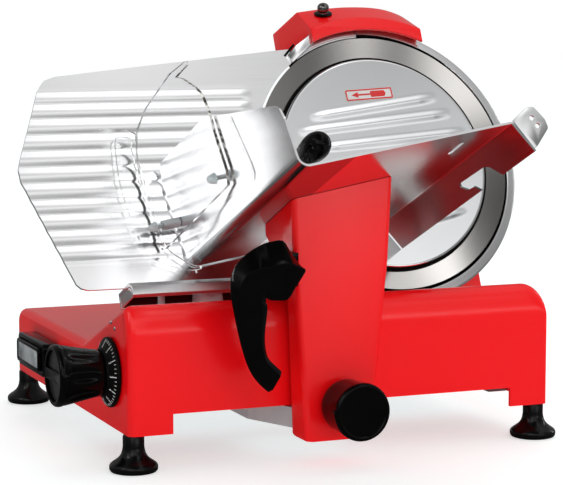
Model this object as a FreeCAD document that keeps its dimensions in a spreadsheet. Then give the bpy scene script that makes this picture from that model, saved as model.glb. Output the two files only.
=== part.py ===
import FreeCAD, Part
import Sketcher
import math
import os

# Electric gravity-feed meat slicer with a 250 mm blade, millimetres, +Z up.
# The pieces are laid out from the centre of the rectangle of the four feet, on the surface it stands on,
# and moved by frame_shift at the end.
# +X is to the right as seen from the front, +Y is away from the front.

os.makedirs("parts", exist_ok=True)
doc = FreeCAD.newDocument("slicer")
V = FreeCAD.Vector
Rot = FreeCAD.Rotation
Pl = FreeCAD.Placement

# ---------------------------------------------------------------- dimensions
sheet = doc.addObject("Spreadsheet::Sheet", "dims")
sheet.Label = "dims"
DIMS = [
    ("base_len", 388.6), ("base_dep", 350.0), ("leg_low", 31.0), ("front_low", 47.8),
    ("ridge_top", 138.0), ("ridge_back", -160.0), ("deck_front", -46.0), ("deck_top", 91.5),
    ("wall", 4.0), ("notch_left", -156.0), ("notch_right", 158.0),
    ("foot_cx", 187.0), ("foot_cy", 163.5), ("foot_stem", 9.0), ("foot_flare", 20.3), ("stud_rad", 4.0),
    ("blade_cx", 114.4), ("blade_cy", -3.2), ("blade_cz", 236.4), ("tilt", 24.16),
    ("blade_rad", 125.0), ("bevel_rad", 106.0), ("blade_bore", 14.0), ("cover_rad", 104.0),
    ("ring_in", 127.5), ("ring_out", 137.0), ("ring_back", -22.0), ("ring_front", -1.0),
    ("spindle_rad", 10.0), ("bearing_out", 21.0), ("tie_rad", 4.0), ("tie_bore", 4.6),
    ("support_front", -22.0), ("support_back", -58.0), ("beltcase_rad", 54.0), ("beltcase_back", -86.0),
    ("motor_u", 64.0), ("motor_v", -20.0), ("driven_rad", 46.0), ("drive_rad", 10.0),
    ("motor_case", 46.0), ("motor_back", -186.0), ("belt_w", 10.0),
    ("gauge_thk", 4.0), ("gauge_front", -0.7), ("gauge_cut", 127.0), ("gauge_low", -109.5),
    ("groove_pitch", 14.7), ("groove_first", -80.6),
    ("carrier_left", -157.0), ("carrier_right", -20.0),
    ("column_x", -80.0), ("column_y", -50.0), ("column_rad", 13.5), ("grod_x", -62.0), ("grod_z", 63.0),
    ("knob_y", -128.5), ("knob_z", 78.0), ("dial_rad", 29.6), ("spindle2", 6.0), ("cam_low", 13.0), ("cam_rise", 13.2),
    ("rod_y", -95.0), ("rod_z", 41.0), ("rod_rad", 6.0), ("bush_rad", 8.0),
    ("tray_u", -197.5), ("tray_v", -91.0), ("tray_turn", 9.62), ("tray_w0", 186.0), ("tray_w1", 196.0),
    ("tray_near", 4.0), ("tray_far", 257.0), ("tray_thk", 2.0), ("wall_high", 101.0),
    ("push_w", 37.0), ("push_up", 24.0), ("push_rad", 4.0), ("push_knob", 11.8),
    ("lock_x", -18.0), ("lock_z", 52.5), ("lock_rad", 24.4),
    ("fit_gap", 0.05), ("frame_shift", 41.0),
]
NUM = {}
for i, (name, value) in enumerate(DIMS):
    sheet.set("A%d" % (i + 1), name)
    sheet.set("B%d" % (i + 1), repr(value))
    sheet.setAlias("B%d" % (i + 1), name)
    NUM[name] = value
doc.recompute()


class Q:
    """A number that remembers how it follows from the sheet's cells."""

    def __init__(self, v, e):
        self.v, self.e = float(v), e

    def _mix(self, o, op, swap=False):
        ov, oe = (o.v, o.e) if isinstance(o, Q) else (float(o), "(%r)" % float(o))
        a, ae, b, be = (ov, oe, self.v, self.e) if swap else (self.v, self.e, ov, oe)
        r = a + b if op == "+" else a - b if op == "-" else a * b if op == "*" else a / b
        return Q(r, "(%s %s %s)" % (ae, op, be))

    def __add__(self, o): return self._mix(o, "+")
    def __radd__(self, o): return self._mix(o, "+", True)
    def __sub__(self, o): return self._mix(o, "-")
    def __rsub__(self, o): return self._mix(o, "-", True)
    def __mul__(self, o): return self._mix(o, "*")
    def __rmul__(self, o): return self._mix(o, "*", True)
    def __truediv__(self, o): return self._mix(o, "/")
    def __neg__(self): return self._mix(-1.0, "*")


def D(name):
    return Q(NUM[name], "dims." + name)


def num(x):
    return x.v if isinstance(x, Q) else float(x)


# ---------------------------------------------------------------- frames
TH = NUM["tilt"]
E2 = V(0, math.sin(math.radians(TH)), math.cos(math.radians(TH)))
NN = V(0, -math.cos(math.radians(TH)), math.sin(math.radians(TH)))
B0 = V(NUM["blade_cx"], NUM["blade_cy"], NUM["blade_cz"])
BP = Pl(B0, Rot(V(1, 0, 0), 90.0 - TH))                      # blade frame: x, up in the plane, out of it
F0 = B0 + V(1, 0, 0) * NUM["tray_u"] + E2 * NUM["tray_v"]
TP = Pl(F0, BP.Rotation.multiply(Rot(V(0, 0, 1), NUM["tray_turn"])))   # tray frame: along floor, up wall, out
YZX = Rot(V(0, 1, 0), V(0, 0, 1), V(1, 0, 0), "XYZ")         # sketch x = Y, sketch y = Z, pad along +X
XZ_ = Rot(V(1, 0, 0), V(0, 0, 1), V(0, -1, 0), "XYZ")        # sketch x = X, sketch y = Z, pad along -Y


def turned(base, axis_from_y):
    """Placement whose local +Y lies along the given direction (for revolved pieces)."""
    return Pl(base, Rot(V(0, 1, 0), axis_from_y))


# ---------------------------------------------------------------- builders
def role(body, r):
    for o in body.Origin.OriginFeatures:
        if o.Role == r:
            return o


def body_at(name, placement=None):
    b = doc.addObject("PartDesign::Body", name)
    b.Label = name
    if placement is not None:
        b.Placement = placement
    return b


def sketch(body, name, loops, off=0.0, plane="XY_Plane"):
    """Closed loops: ('c', x, y, r) or a list of points, all fully constrained."""
    sk = body.newObject("Sketcher::SketchObject", name)
    sk.AttachmentSupport = (role(body, plane), "")
    sk.MapMode = "FlatFace"
    sk.AttachmentOffset = Pl(V(0, 0, num(off)), Rot())
    if isinstance(off, Q):
        sk.setExpression("AttachmentOffset.Base.z", off.e)
    binds = []
    for lp in loops:
        if isinstance(lp, tuple) and lp[0] == "c":
            _, x, y, r = lp
            g = sk.addGeometry(Part.Circle(V(num(x), num(y), 0), V(0, 0, 1), num(r)), False)
            for kind, val, args in (("DistanceX", x, (-1, 1, g, 3)), ("DistanceY", y, (-1, 1, g, 3))):
                c = sk.addConstraint(Sketcher.Constraint(kind, *args, num(val)))
                if isinstance(val, Q):
                    binds.append((c, val))
            c = sk.addConstraint(Sketcher.Constraint("Radius", g, num(r)))
            if isinstance(r, Q):
                binds.append((c, r))
            continue
        pts = lp
        n = len(pts)
        gs = []
        for i in range(n):
            a, b = pts[i], pts[(i + 1) % n]
            gs.append(sk.addGeometry(Part.LineSegment(V(num(a[0]), num(a[1]), 0), V(num(b[0]), num(b[1]), 0)), False))
        for i in range(n):
            sk.addConstraint(Sketcher.Constraint("Coincident", gs[i], 2, gs[(i + 1) % n], 1))
        for i in range(n):
            x, y = pts[i]
            for kind, val in (("DistanceX", x), ("DistanceY", y)):
                c = sk.addConstraint(Sketcher.Constraint(kind, -1, 1, gs[i], 1, num(val)))
                if isinstance(val, Q):
                    binds.append((c, val))
    for c, val in binds:
        sk.setExpression("Constraints[%d]" % c, val.e)
    sk.Visibility = False
    return sk


def pad(body, name, loops, lo, hi):
    """Pad the loops from local z = lo to z = hi."""
    sk = sketch(body, name + "_sk", loops, lo)
    p = body.newObject("PartDesign::Pad", name)
    p.Profile = sk
    length = hi - lo
    p.Length = num(length)
    if isinstance(length, Q):
        p.setExpression("Length", length.e)
    return p


def pocket(body, name, loops, lo, hi):
    """Cut the loops from local z = lo to z = hi; the volume is compared afterwards."""
    sk = sketch(body, name + "_sk", loops, lo)
    p = body.newObject("PartDesign::Pocket", name)
    p.Profile = sk
    length = hi - lo
    p.Length = num(length)
    if isinstance(length, Q):
        p.setExpression("Length", length.e)
    p.Reversed = True
    CUTS.append((body, p))
    return p


def revolve(body, name, loops, angle=360.0, groove=False, start=0.0):
    """Revolve an (r, axial) profile about local Y; start turns the sketch plane first."""
    sk = sketch(body, name + "_sk", loops)
    if start:
        sk.AttachmentOffset = Pl(V(0, 0, 0), Rot(V(0, 1, 0), start))
    f = body.newObject("PartDesign::Groove" if groove else "PartDesign::Revolution", name)
    f.Profile = sk
    f.ReferenceAxis = (sk, ["V_Axis"])
    f.Angle = angle
    if groove:
        CUTS.append((body, f))
    return f


CUTS = []


def prim(kind, name, placement, **kw):
    o = doc.addObject("Part::" + kind, name)
    for k, v in kw.items():
        setattr(o, k, num(v))
        if isinstance(v, Q):
            o.setExpression(k, v.e)
    o.Placement = placement
    o.Visibility = False
    return o


def boolean(kind, name, base, tool):
    o = doc.addObject("Part::" + kind, name)
    if kind in ("Cut",):
        o.Base, o.Tool = base, tool
    else:
        o.Shapes = [base] + list(tool)
    return o


def group(name, objs):
    o = doc.addObject("Part::Compound", name)
    o.Links = objs
    return o


NODES = []


def node(name, obj):
    obj.Label = name
    NODES.append((name, obj))
    return obj


Z1 = V(0, 0, 1)
X1 = V(1, 0, 0)
Y1 = V(0, 1, 0)


def cyl(name, base, direction, r, h):
    return prim("Cylinder", name, Pl(base, Rot(Z1, direction)), Radius=r, Height=h)


def boxw(name, x0, x1, y0, y1, z0, z1, placement=None):
    p = Pl(V(num(x0), num(y0), num(z0)), Rot())
    if placement is not None:
        p = placement.multiply(p)
    return prim("Box", name, p, Length=x1 - x0, Width=y1 - y0, Height=z1 - z0)


def local(placement, x, y, z):
    return placement.multVec(V(num(x), num(y), num(z)))


# ================================================================ base
half = D("base_len") / 2
hd = D("base_dep") / 2
b = body_at("base_outer", Pl(V(0, 0, 0), YZX))
pad(b, "base_block", [[(-hd, D("leg_low")), (-hd, D("ridge_top")), (D("ridge_back"), D("ridge_top")),
                       (D("deck_front"), D("deck_top")), (hd, D("deck_top")), (hd, D("leg_low"))]], -half, half)
doc.recompute()


def edges_where(shape, test):
    out = []
    for i, e in enumerate(shape.Edges):
        if test(e):
            out.append("Edge%d" % (i + 1))
    return out


def fillet(body, name, test, radius):
    doc.recompute()
    tip = body.Tip
    names = edges_where(tip.Shape, test)
    f = body.newObject("PartDesign::Fillet", name)
    f.Base = (tip, names)
    f.Radius = radius
    doc.recompute()
    return f


def at(e, axis, val, tol=0.3):
    bb = e.BoundBox
    lo, hi = {"x": (bb.XMin, bb.XMax), "y": (bb.YMin, bb.YMax), "z": (bb.ZMin, bb.ZMax)}[axis]
    return abs(lo - val) < tol and abs(hi - val) < tol


# long edges along the body's local z (world X)
fillet(b, "front_round", lambda e: at(e, "x", -175) and at(e, "y", 138), 14.0)
fillet(b, "rear_round", lambda e: at(e, "x", 175) and at(e, "y", 91.5), 14.0)
fillet(b, "left_round", lambda e: at(e, "z", -194.3) and e.BoundBox.YMax > 31.5, 6.0)
fillet(b, "right_round", lambda e: at(e, "z", 194.3) and e.BoundBox.YMax > 31.5 and e.BoundBox.YMax - e.BoundBox.YMin > 60 and e.BoundBox.XMax - e.BoundBox.XMin < 1, 3.0)
doc.recompute()
# the right end of the ridge is rounded in the front view
corner = boolean("Cut", "right_corner", boxw("corner_block", half - 21.0, half + 5, -hd - 5, D("deck_front") + 60, D("ridge_top") - 21.0, D("ridge_top") + 5),
                 [cyl("corner_round", V(NUM["base_len"] / 2 - 21.0, -NUM["base_dep"] / 2 - 6, NUM["ridge_top"] - 21.0), Y1, 21.0, 400.0)][0])
b = boolean("Cut", "base_outer_rounded", b, corner)

w = D("wall")
b2 = body_at("base_cavity", Pl(V(0, 0, 0), YZX))
pad(b2, "cavity_block", [[(-hd + w, 20.0), (-hd + w, D("ridge_top") - w - 6), (D("ridge_back") + 3, D("ridge_top") - w),
                          (D("deck_front") - 1.6, D("deck_top") - w), (hd - w - 6, D("deck_top") - w),
                          (hd - w, D("deck_top") - w - 8), (hd - w, 20.0)]], -half + w, half - w)
# the cavity stops short of the rounded corner
cav_keep = boolean("Cut", "cavity_trim", boxw("trim_block", half - 21.0, half + 5, -hd - 5, D("deck_front") + 60, D("ridge_top") - 21.0, D("ridge_top") + 5),
                   [cyl("trim_round", V(NUM["base_len"] / 2 - 21.0, -NUM["base_dep"] / 2 - 6, NUM["ridge_top"] - 21.0), Y1, 17.0, 400.0)][0])
b2 = boolean("Cut", "cavity_final", b2, cav_keep)
shell = boolean("Cut", "base_shell", b, b2)
notch = boxw("front_notch", D("notch_left"), D("notch_right"), -hd - 5, -hd + w + 1, 20.0, D("front_low"))
shell2 = boolean("Cut", "base_notched", shell, notch)
bosses = []
for k, (sx, sy) in enumerate(((-1, -1), (1, -1), (-1, 1), (1, 1))):
    x0, x1 = (-half + w - 0.5, -half + w + 17) if sx < 0 else (half - w - 17, half - w + 0.5)
    y0, y1 = (-hd + w - 0.5, -hd + w + 17) if sy < 0 else (hd - w - 17, hd - w + 0.5)
    bosses.append(boxw("foot_boss%d" % k, x0, x1, y0, y1, D("leg_low"), D("leg_low") + 26))
bosses.append(cyl("index_boss", V(-190.8, NUM["knob_y"], NUM["knob_z"]), X1, 12.0, 26.0))
shell3 = boolean("MultiFuse", "base_bossed", shell2, bosses)
tools = []
for k, (sx, sy) in enumerate(((-1, -1), (1, -1), (-1, 1), (1, 1))):
    tools.append(cyl("foot_hole%d" % k, V(sx * NUM["foot_cx"], sy * NUM["foot_cy"], 20.0), Z1, D("stud_rad") + D("fit_gap"), 42.0))
tools.append(cyl("index_hole", V(-200, NUM["knob_y"], NUM["knob_z"]), X1, D("spindle2") + D("fit_gap"), 60.0))
tools.append(boxw("column_slot", D("column_x") - D("column_rad") - 1.5, D("column_x") + D("column_rad") + 1.5,
                  D("column_y") - D("column_rad") - 1.5, D("column_y") + D("column_rad") + D("cam_rise") + 1.5, 80.0, 106.0))
tools.append(boxw("switch_hole", -196.0, -186.0, 44.0, 98.0, 52.0, 72.0))
tools.append(cyl("gland_hole", V(-150.0, 165.0, 58.0), Y1, 8.05, 20.0))
holes = boolean("MultiFuse", "base_holes", tools[0], tools[1:])
node("base_housing", boolean("Cut", "base_housing", shell3, holes))

node("bottom_plate", boolean("Cut", "bottom_plate",
     boxw("plate_blank", -half + w, half - w, -52.0, hd - w, D("leg_low") + 1, D("leg_low") + 3),
     boolean("MultiFuse", "plate_cut", boxw("pc0", -half + w, -half + w + 17.3, hd - w - 17.3, hd - w + 1, 25.0, 45.0),
             [boxw("pc1", half - w - 17.3, half - w, hd - w - 17.3, hd - w + 1, 25.0, 45.0)])))
scr = []
for k, (x, y) in enumerate(((-175, -44), (175, -44), (-60, 162), (60, 162))):
    scr.append(boolean("MultiFuse", "bscrew%d" % k, cyl("bsh%d" % k, V(x, y, 29.6), Z1, 4.0, 2.4),
                       [cyl("bst%d" % k, V(x, y, 31.9), Z1, 2.0, 8.0)]))
screws_raw = group("bottom_screws_raw", scr)
# the plate's screw holes
plate = NODES.pop()[1]
plate.Label = "plate_trimmed"
ph = [cyl("ph%d" % k, V(x, y, 25.0), Z1, 2.05, 20.0) for k, (x, y) in enumerate(((-175, -44), (175, -44), (-60, 162), (60, 162)))]
node("bottom_plate", boolean("Cut", "bottom_plate_final", plate, boolean("MultiFuse", "plate_holes", ph[0], ph[1:])))
node("bottom_screws", screws_raw)

# feet: flared rubber cones on threaded studs
for nm, sx, sy in (("foot_front_left", -1, -1), ("foot_front_right", 1, -1), ("foot_rear_left", -1, 1), ("foot_rear_right", 1, 1)):
    f = body_at(nm, turned(V(sx * NUM["foot_cx"], sy * NUM["foot_cy"], 0), Z1))
    fs = D("foot_stem")
    revolve(f, nm + "_rev", [[(0.0, 0.0), (D("foot_flare") - 1.4, 0.0), (D("foot_flare"), 1.4), (D("foot_flare"), 5.2),
                              (fs + 6.5, 9.0), (fs + 2.2, 12.5), (fs + 0.5, 16.0), (fs, 20.0), (fs, D("leg_low")),
                              (D("stud_rad") + D("fit_gap"), D("leg_low")), (D("stud_rad") + D("fit_gap"), 11.0), (0.0, 11.0)]])
    node(nm, f)
node("foot_studs", group("foot_studs", [cyl("stud%d" % k, V(sx * NUM["foot_cx"], sy * NUM["foot_cy"], 11.1), Z1, D("stud_rad"), 49.0)
                                        for k, (sx, sy) in enumerate(((-1, -1), (1, -1), (-1, 1), (1, 1)))]))

# ================================================================ blade, spindle and their fixed carriers
AX = turned(B0, NN)     # revolved about the blade axis: (r, h) profiles
bl = body_at("blade", AX)
revolve(bl, "blade_rev", [[(D("blade_bore"), -3.0), (D("bevel_rad"), -3.0), (D("blade_rad"), 0.0), (D("blade_rad"), -0.6),
                           (D("blade_rad") - 12, -6.0), (30.0, -6.0), (30.0, -10.0), (D("blade_bore"), -10.0)]])
doc.recompute()
sh = []
for k in range(3):
    a = math.radians(90 + 120 * k)
    sh.append(cyl("bh%d" % k, local(BP, 20 * math.cos(a), 20 * math.sin(a), -20), NN, 2.6, 30.0))
node("blade", boolean("Cut", "blade_drilled", bl, boolean("MultiFuse", "blade_holes", sh[0], sh[1:])))
ss = []
for k in range(3):
    a = math.radians(90 + 120 * k)
    base = local(BP, 20 * math.cos(a), 20 * math.sin(a), -3)
    ss.append(boolean("MultiFuse", "bs%d" % k, cyl("bsa%d" % k, base, NN, 4.4, 1.4),
                      [cyl("bsb%d" % k, local(BP, 20 * math.cos(a), 20 * math.sin(a), -15), NN, 2.5, 12.2)]))
node("blade_screws", group("blade_screws", ss))

sp = body_at("blade_spindle_turned", AX)
sr = D("spindle_rad")
revolve(sp, "spindle_rev", [[(D("tie_bore"), -4.0), (D("blade_bore") - D("fit_gap"), -4.0), (D("blade_bore") - D("fit_gap"), -10.0),
                             (28.0, -10.0), (28.0, -16.0), (sr, -16.0), (sr, -80.0), (D("tie_bore"), -80.0)]])
doc.recompute()
st = []
for k in range(3):
    a = math.radians(90 + 120 * k)
    st.append(cyl("sh%d" % k, local(BP, 20 * math.cos(a), 20 * math.sin(a), -20), NN, 2.52, 14.0))
node("blade_spindle", boolean("Cut", "blade_spindle_cut", sp, boolean("MultiFuse", "spindle_holes", st[0], st[1:])))

br = []
for k, h0 in enumerate((-34.0, -57.5)):
    o = body_at("bearing%d" % k, AX)
    revolve(o, "bearing%d_rev" % k, [[(sr + D("fit_gap"), h0), (D("bearing_out") - D("fit_gap"), h0),
                                      (D("bearing_out") - D("fit_gap"), h0 + 11.5), (sr + D("fit_gap"), h0 + 11.5)]])
    br.append(o)
node("spindle_bearings", group("spindle_bearings", br))

# ring guard: open on the operator's side so that the slices can pass
rg = body_at("ring_guard", AX)
R_START, R_SWEEP = 122.0, 248.8
revolve(rg, "ring_rev", [[(29.0, D("ring_back")), (D("ring_out") - 1.0, D("ring_back")), (D("ring_out"), D("ring_back") + 1),
                          (D("ring_out"), D("ring_front") - 1.5), (D("ring_out") - 1.5, D("ring_front")), (D("ring_in") + 0.6, D("ring_front")),
                          (D("ring_in"), D("ring_front") - 0.6), (D("ring_in"), D("ring_back") + 4),
                          (29.0, D("ring_back") + 4)]], angle=R_SWEEP)
node("ring_guard", rg)

# blade support: the red pillar with the bearing bore
sf, sb = D("support_front"), D("support_back")
pil = body_at("pillar", BP)
pad(pil, "pillar_web", [[(-50.0, -155.0), (88.0, -155.0), (88.0, -104.0), (44.0, 14.0), (30.0, 29.0), (-34.0, 29.0), (-50.0, 18.0)]], sb, sf)
pocket(pil, "pillar_bore", [("c", 0.0, 0.0, D("bearing_out"))], sb - 1, sf + 1)
doc.recompute()
under = boxw("under_deck", -400.0, 400.0, -400.0, 400.0, -200.0, D("deck_top"))
node("blade_support", boolean("Cut", "blade_support", pil, under))

# slice deflector behind the blade
dfl = body_at("slice_deflector", Pl(local(BP, 0, 0, 0), BP.Rotation.multiply(Rot(V(1, 0, 0), V(0, 0, 1), V(0, -1, 0), "XYZ"))))
# sketch x = u, sketch y = h, pad along -v
pad(dfl, "deflector_sheet", [[(-112.0, -12.0), (-100.0, -14.5), (-84.0, -21.0), (-68.0, -31.5), (-50.1, -47.0), (-50.1, -49.5),
                              (-69.5, -33.0), (-85.0, -22.8), (-100.8, -16.4), (-112.6, -13.9)]], -56.0, 48.0)
node("slice_deflector", dfl)

# blade cover: dished disc in front of the blade, with low ribs
bc = body_at("blade_cover_turned", AX)
cr = D("cover_rad")
revolve(bc, "cover_rev", [[(0.0, -0.8), (cr - 6, -0.8), (cr - 6, -2.4), (cr - 1.0, -2.4), (cr, -1.6), (cr, -0.4), (cr - 1.2, 0.7), (0.0, 0.7)]])
doc.recompute()
node("blade_cover", bc)
node("cover_tie_rod", cyl("cover_tie_rod", local(BP, 0, 0, -104.0), NN, D("tie_rad"), 103.2))
ck = body_at("cover_knob", AX)
revolve(ck, "cover_knob_rev", [[(D("tie_rad") + D("fit_gap"), -86.3), (9.0, -86.3), (9.0, -92.0), (15.0, -94.0), (17.0, -97.0), (17.0, -108.0), (15.0, -111.0),
                                (8.0, -112.5), (0.0, -112.5), (0.0, -104.1), (D("tie_rad") + D("fit_gap"), -104.1)]])
node("cover_knob", ck)

# ================================================================ drive
mu, mv = D("motor_u"), D("motor_v")
ang = math.degrees(math.atan2(NUM["motor_v"], NUM["motor_u"]))
dist = math.hypot(NUM["motor_u"], NUM["motor_v"])


def stadium(name, r, h0, h1):
    a = cyl(name + "_a", local(BP, 0, 0, h0), NN, r, h1 - h0)
    c = cyl(name + "_b", local(BP, mu, mv, h0), NN, r, h1 - h0)
    fr = BP.multiply(Pl(V(0, 0, num(h0)), Rot(V(0, 0, 1), ang)))
    m = prim("Box", name + "_c", fr.multiply(Pl(V(0, -num(r), 0), Rot())), Length=dist, Width=2 * r, Height=h1 - h0)
    return boolean("MultiFuse", name, a, [c, m])


bo = stadium("belt_case_out", D("beltcase_rad"), D("beltcase_back"), sb)
bi = stadium("belt_case_in", D("beltcase_rad") - 3, D("beltcase_back") + 3, sb + 1)
bcut = boolean("MultiFuse", "belt_case_cut", bi, [cyl("bc_h0", local(BP, 0, 0, -95), NN, D("tie_rad") + D("fit_gap"), 20.0),
                                                 cyl("bc_h1", local(BP, mu, mv, -95), NN, 8.0, 20.0)])
node("belt_cover", boolean("Cut", "belt_cover", bo, bcut))

dp = body_at("driven_pulley", AX)
dr = D("driven_rad")
revolve(dp, "driven_rev", [[(sr + D("fit_gap"), -65.0), (16.0, -65.0), (16.0, -70.0), (dr - 8, -70.0), (dr - 8, -65.5), (dr, -65.5),
                            (dr, -78.5), (dr - 8, -78.5), (dr - 8, -74.0), (16.0, -74.0), (16.0, -79.0), (sr + D("fit_gap"), -79.0)]])
node("driven_pulley", dp)
MX = turned(local(BP, mu, mv, 0), NN)
vp = body_at("drive_pulley", MX)
revolve(vp, "drive_rev", [[(6.0 + D("fit_gap"), -65.0), (12.5, -65.0), (12.5, -66.4), (D("drive_rad"), -66.4), (D("drive_rad"), -77.6), (12.5, -77.6),
                           (12.5, -79.0), (6.0 + D("fit_gap"), -79.0)]])
node("drive_pulley", vp)

# belt: a closed loop round both pulleys, 0.35 mm clear of them


def loop_face(r1, r2):
    a = math.acos((r1 - r2) / dist)
    base = math.radians(ang)
    c2 = V(NUM["motor_u"], NUM["motor_v"], 0)
    p = [V(r1 * math.cos(base + s * a), r1 * math.sin(base + s * a), 0) for s in (1, -1)]
    q = [c2 + V(r2 * math.cos(base + s * a), r2 * math.sin(base + s * a), 0) for s in (1, -1)]
    m1 = V(r1 * math.cos(base + math.pi), r1 * math.sin(base + math.pi), 0)
    m2 = c2 + V(r2 * math.cos(base), r2 * math.sin(base), 0)
    wire = Part.Wire([Part.Arc(p[0], m1, p[1]).toShape(), Part.LineSegment(p[1], q[1]).toShape(),
                      Part.Arc(q[1], m2, q[0]).toShape(), Part.LineSegment(q[0], p[0]).toShape()])
    return Part.Face(wire)


belt_r1, belt_r2 = NUM["driven_rad"] + 0.35, NUM["drive_rad"] + 0.35
belt = loop_face(belt_r1 + 2.6, belt_r2 + 2.6).cut(loop_face(belt_r1, belt_r2)).extrude(V(0, 0, NUM["belt_w"]))
bf = doc.addObject("Part::Feature", "drive_belt")
bf.Shape = belt
bf.Placement = BP.multiply(Pl(V(0, 0, -77.0), Rot()))
node("drive_belt", bf)

mr = body_at("motor_rotor", MX)
revolve(mr, "rotor_rev", [[(0.0, -64.0), (6.0, -64.0), (6.0, -102.0), (23.0, -102.0), (23.0, -158.0), (6.0, -158.0), (6.0, -178.0), (0.0, -178.0)]])
node("motor_rotor", mr)
ms = body_at("motor_stator", MX)
revolve(ms, "stator_rev", [[(24.0, -100.0), (42.9, -100.0), (42.9, -160.0), (24.0, -160.0)]])
node("motor_stator", ms)
mf = body_at("motor_fan", Pl(local(BP, mu, mv, 0), BP.Rotation))
pad(mf, "fan_hub", [("c", 0.0, 0.0, 12.0)], -177.0, -168.0)
pad(mf, "fan_disc", [("c", 0.0, 0.0, 37.0)], -169.5, -168.0)
vane = pad(mf, "fan_vane", [[(10.0, -1.0), (36.5, -1.0), (36.5, 1.0), (10.0, 1.0)]], -177.0, -169.0)
doc.recompute()
pp = mf.newObject("PartDesign::PolarPattern", "fan_vanes")
pp.Originals = [vane]
pp.Axis = (vane.Profile[0], ["N_Axis"])
pp.Angle = 360.0
pp.Occurrences = 9
mf.Tip = pp
doc.recompute()
pocket(mf, "fan_bore", [("c", 0.0, 0.0, 6.0 + D("fit_gap"))], -180.0, -160.0)
node("motor_fan", mf)
mc = body_at("motor_case_turned", MX)
mk = D("motor_case")
revolve(mc, "case_rev", [[(14.0, -88.9), (14.0, D("beltcase_back")), (mk, D("beltcase_back")), (mk, D("motor_back") + 8), (mk - 2.5, D("motor_back") + 2.5), (mk - 8, D("motor_back")),
                          (0.0, D("motor_back")), (0.0, D("motor_back") + 3), (mk - 9, D("motor_back") + 3),
                          (mk - 3, D("motor_back") + 9), (mk - 3, -88.9)]])
doc.recompute()
vents = []
for k in range(-3, 4):
    hw = math.sqrt(33.0 ** 2 - (8.0 * k) ** 2)
    vents.append(boxw("vent%d" % (k + 3), NUM["motor_u"] - hw, NUM["motor_u"] + hw, NUM["motor_v"] + 8.0 * k - 1.75, NUM["motor_v"] + 8.0 * k + 1.75,
                      NUM["motor_back"] - 2, NUM["motor_back"] + 5, placement=BP))
node("motor_cover", boolean("Cut", "motor_cover", mc, boolean("MultiFuse", "vents", vents[0], vents[1:])))

# ================================================================ gauge plate and its slide
gp = body_at("gauge_plate", BP)
gf, gb = D("gauge_front"), D("gauge_front") - D("gauge_thk")
gl = D("gauge_low")
pad(gp, "gauge_blank", [[(-313.5, -104.0), (-309.0, -108.2), (-303.0, gl), (-79.2, gl), (-79.2, 0.0), (-76.7, 60.0), (-76.7, 114.9), (-90.0, 113.8), (-217.0, 100.5),
                         (-309.0, 90.6), (-319.0, 87.0), (-325.5, 79.0), (-336.0, 49.6), (-350.0, 12.4), (-352.5, 3.1), (-351.6, -7.1)]], gb, gf)
pocket(gp, "gauge_cut_pocket", [("c", 0.0, 0.0, D("gauge_cut"))], gb - 1, gf + 1)
gr = pocket(gp, "gauge_groove", [[(-390.0, D("groove_first") - 1.6), (-150.0, D("groove_first") - 1.6), (-150.0, D("groove_first") + 1.6), (-390.0, D("groove_first") + 1.6)]],
            gf - 0.7, gf + 0.5)
doc.recompute()
lp = gp.newObject("PartDesign::LinearPattern", "gauge_grooves")
lp.Originals = [gr]
lp.Direction = (gr.Profile[0], ["V_Axis"])
lp.Length = 10 * NUM["groove_pitch"]
lp.setExpression("Length", "dims.groove_pitch * 10")
lp.Occurrences = 11
gp.Tip = lp
doc.recompute()
node("gauge_plate", gp)

# carrier under the plate: sketch x = v, sketch y = h, pad along X
CP = Pl(V(0, NUM["blade_cy"], NUM["blade_cz"]), Rot(E2, NN, X1, "XYZ"))
gc = body_at("carrier_bar", CP)
pad(gc, "carrier_sect", [[(gl - 0.1, -18.0), (gl - 0.1, 15.0), (gl - 4.0, 20.5), (-113.0, 22.0), (-122.0, 22.0), (-124.0, 20.0), (-124.0, -18.0)]],
    D("carrier_left"), D("carrier_right"))
doc.recompute()
under_carrier = prim("Box", "above_carrier", CP.multiply(Pl(V(-124.0, -200.0, -300.0), Rot())), Length=200.0, Width=400.0, Height=600.0)
cpin = boolean("Cut", "carrier_pin", cyl("carrier_pin_a", V(-124.0, -52.0, 95.5), Z1, 3.0, 40.0), under_carrier)
node("gauge_carrier", boolean("MultiFuse", "gauge_carrier", gc, [cpin]))
under_carrier2 = prim("Box", "above_carrier2", CP.multiply(Pl(V(-124.0, -200.0, -300.0), Rot())), Length=200.0, Width=400.0, Height=600.0)
node("gauge_column", boolean("Cut", "gauge_column", cyl("column_a", V(NUM["column_x"], NUM["column_y"], 73.05), Z1, D("column_rad"), 62.0), under_carrier2))
sl = boxw("slider_block", -100.0, -50.0, -72.0, -28.0, 53.0, 73.0)
nose = boxw("slider_nose", -83.5, -76.5, NUM["knob_y"] + NUM["cam_low"] + 0.4, -71.5, 74.0, 82.0)
lug = boxw("slider_lug", -86.0, -74.0, -72.0, -64.6, 72.5, 82.0)
node("gauge_slider", boolean("Cut", "gauge_slider", boolean("MultiFuse", "slider_solid", sl, [nose, lug]),
                             cyl("slider_bore", V(NUM["grod_x"], -120, NUM["grod_z"]), Y1, D("rod_rad") + D("fit_gap"), 120.0)))
node("gauge_guide_rod", cyl("gauge_guide_rod", V(NUM["grod_x"], -96.0, NUM["grod_z"]), Y1, D("rod_rad"), 138.0))
gbk = boolean("MultiFuse", "grb", boxw("grb0", -71.0, -53.0, -96.0, -89.0, 54.5, 105.0), [boxw("grb1", -71.0, -53.0, 34.0, 42.0, 54.5, D("deck_top") - w)])
node("gauge_rod_brackets", boolean("Cut", "gauge_rod_brackets", gbk, cyl("grb_bore", V(NUM["grod_x"], -120, NUM["grod_z"]), Y1, D("rod_rad") + 0.02, 180.0)))

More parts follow.
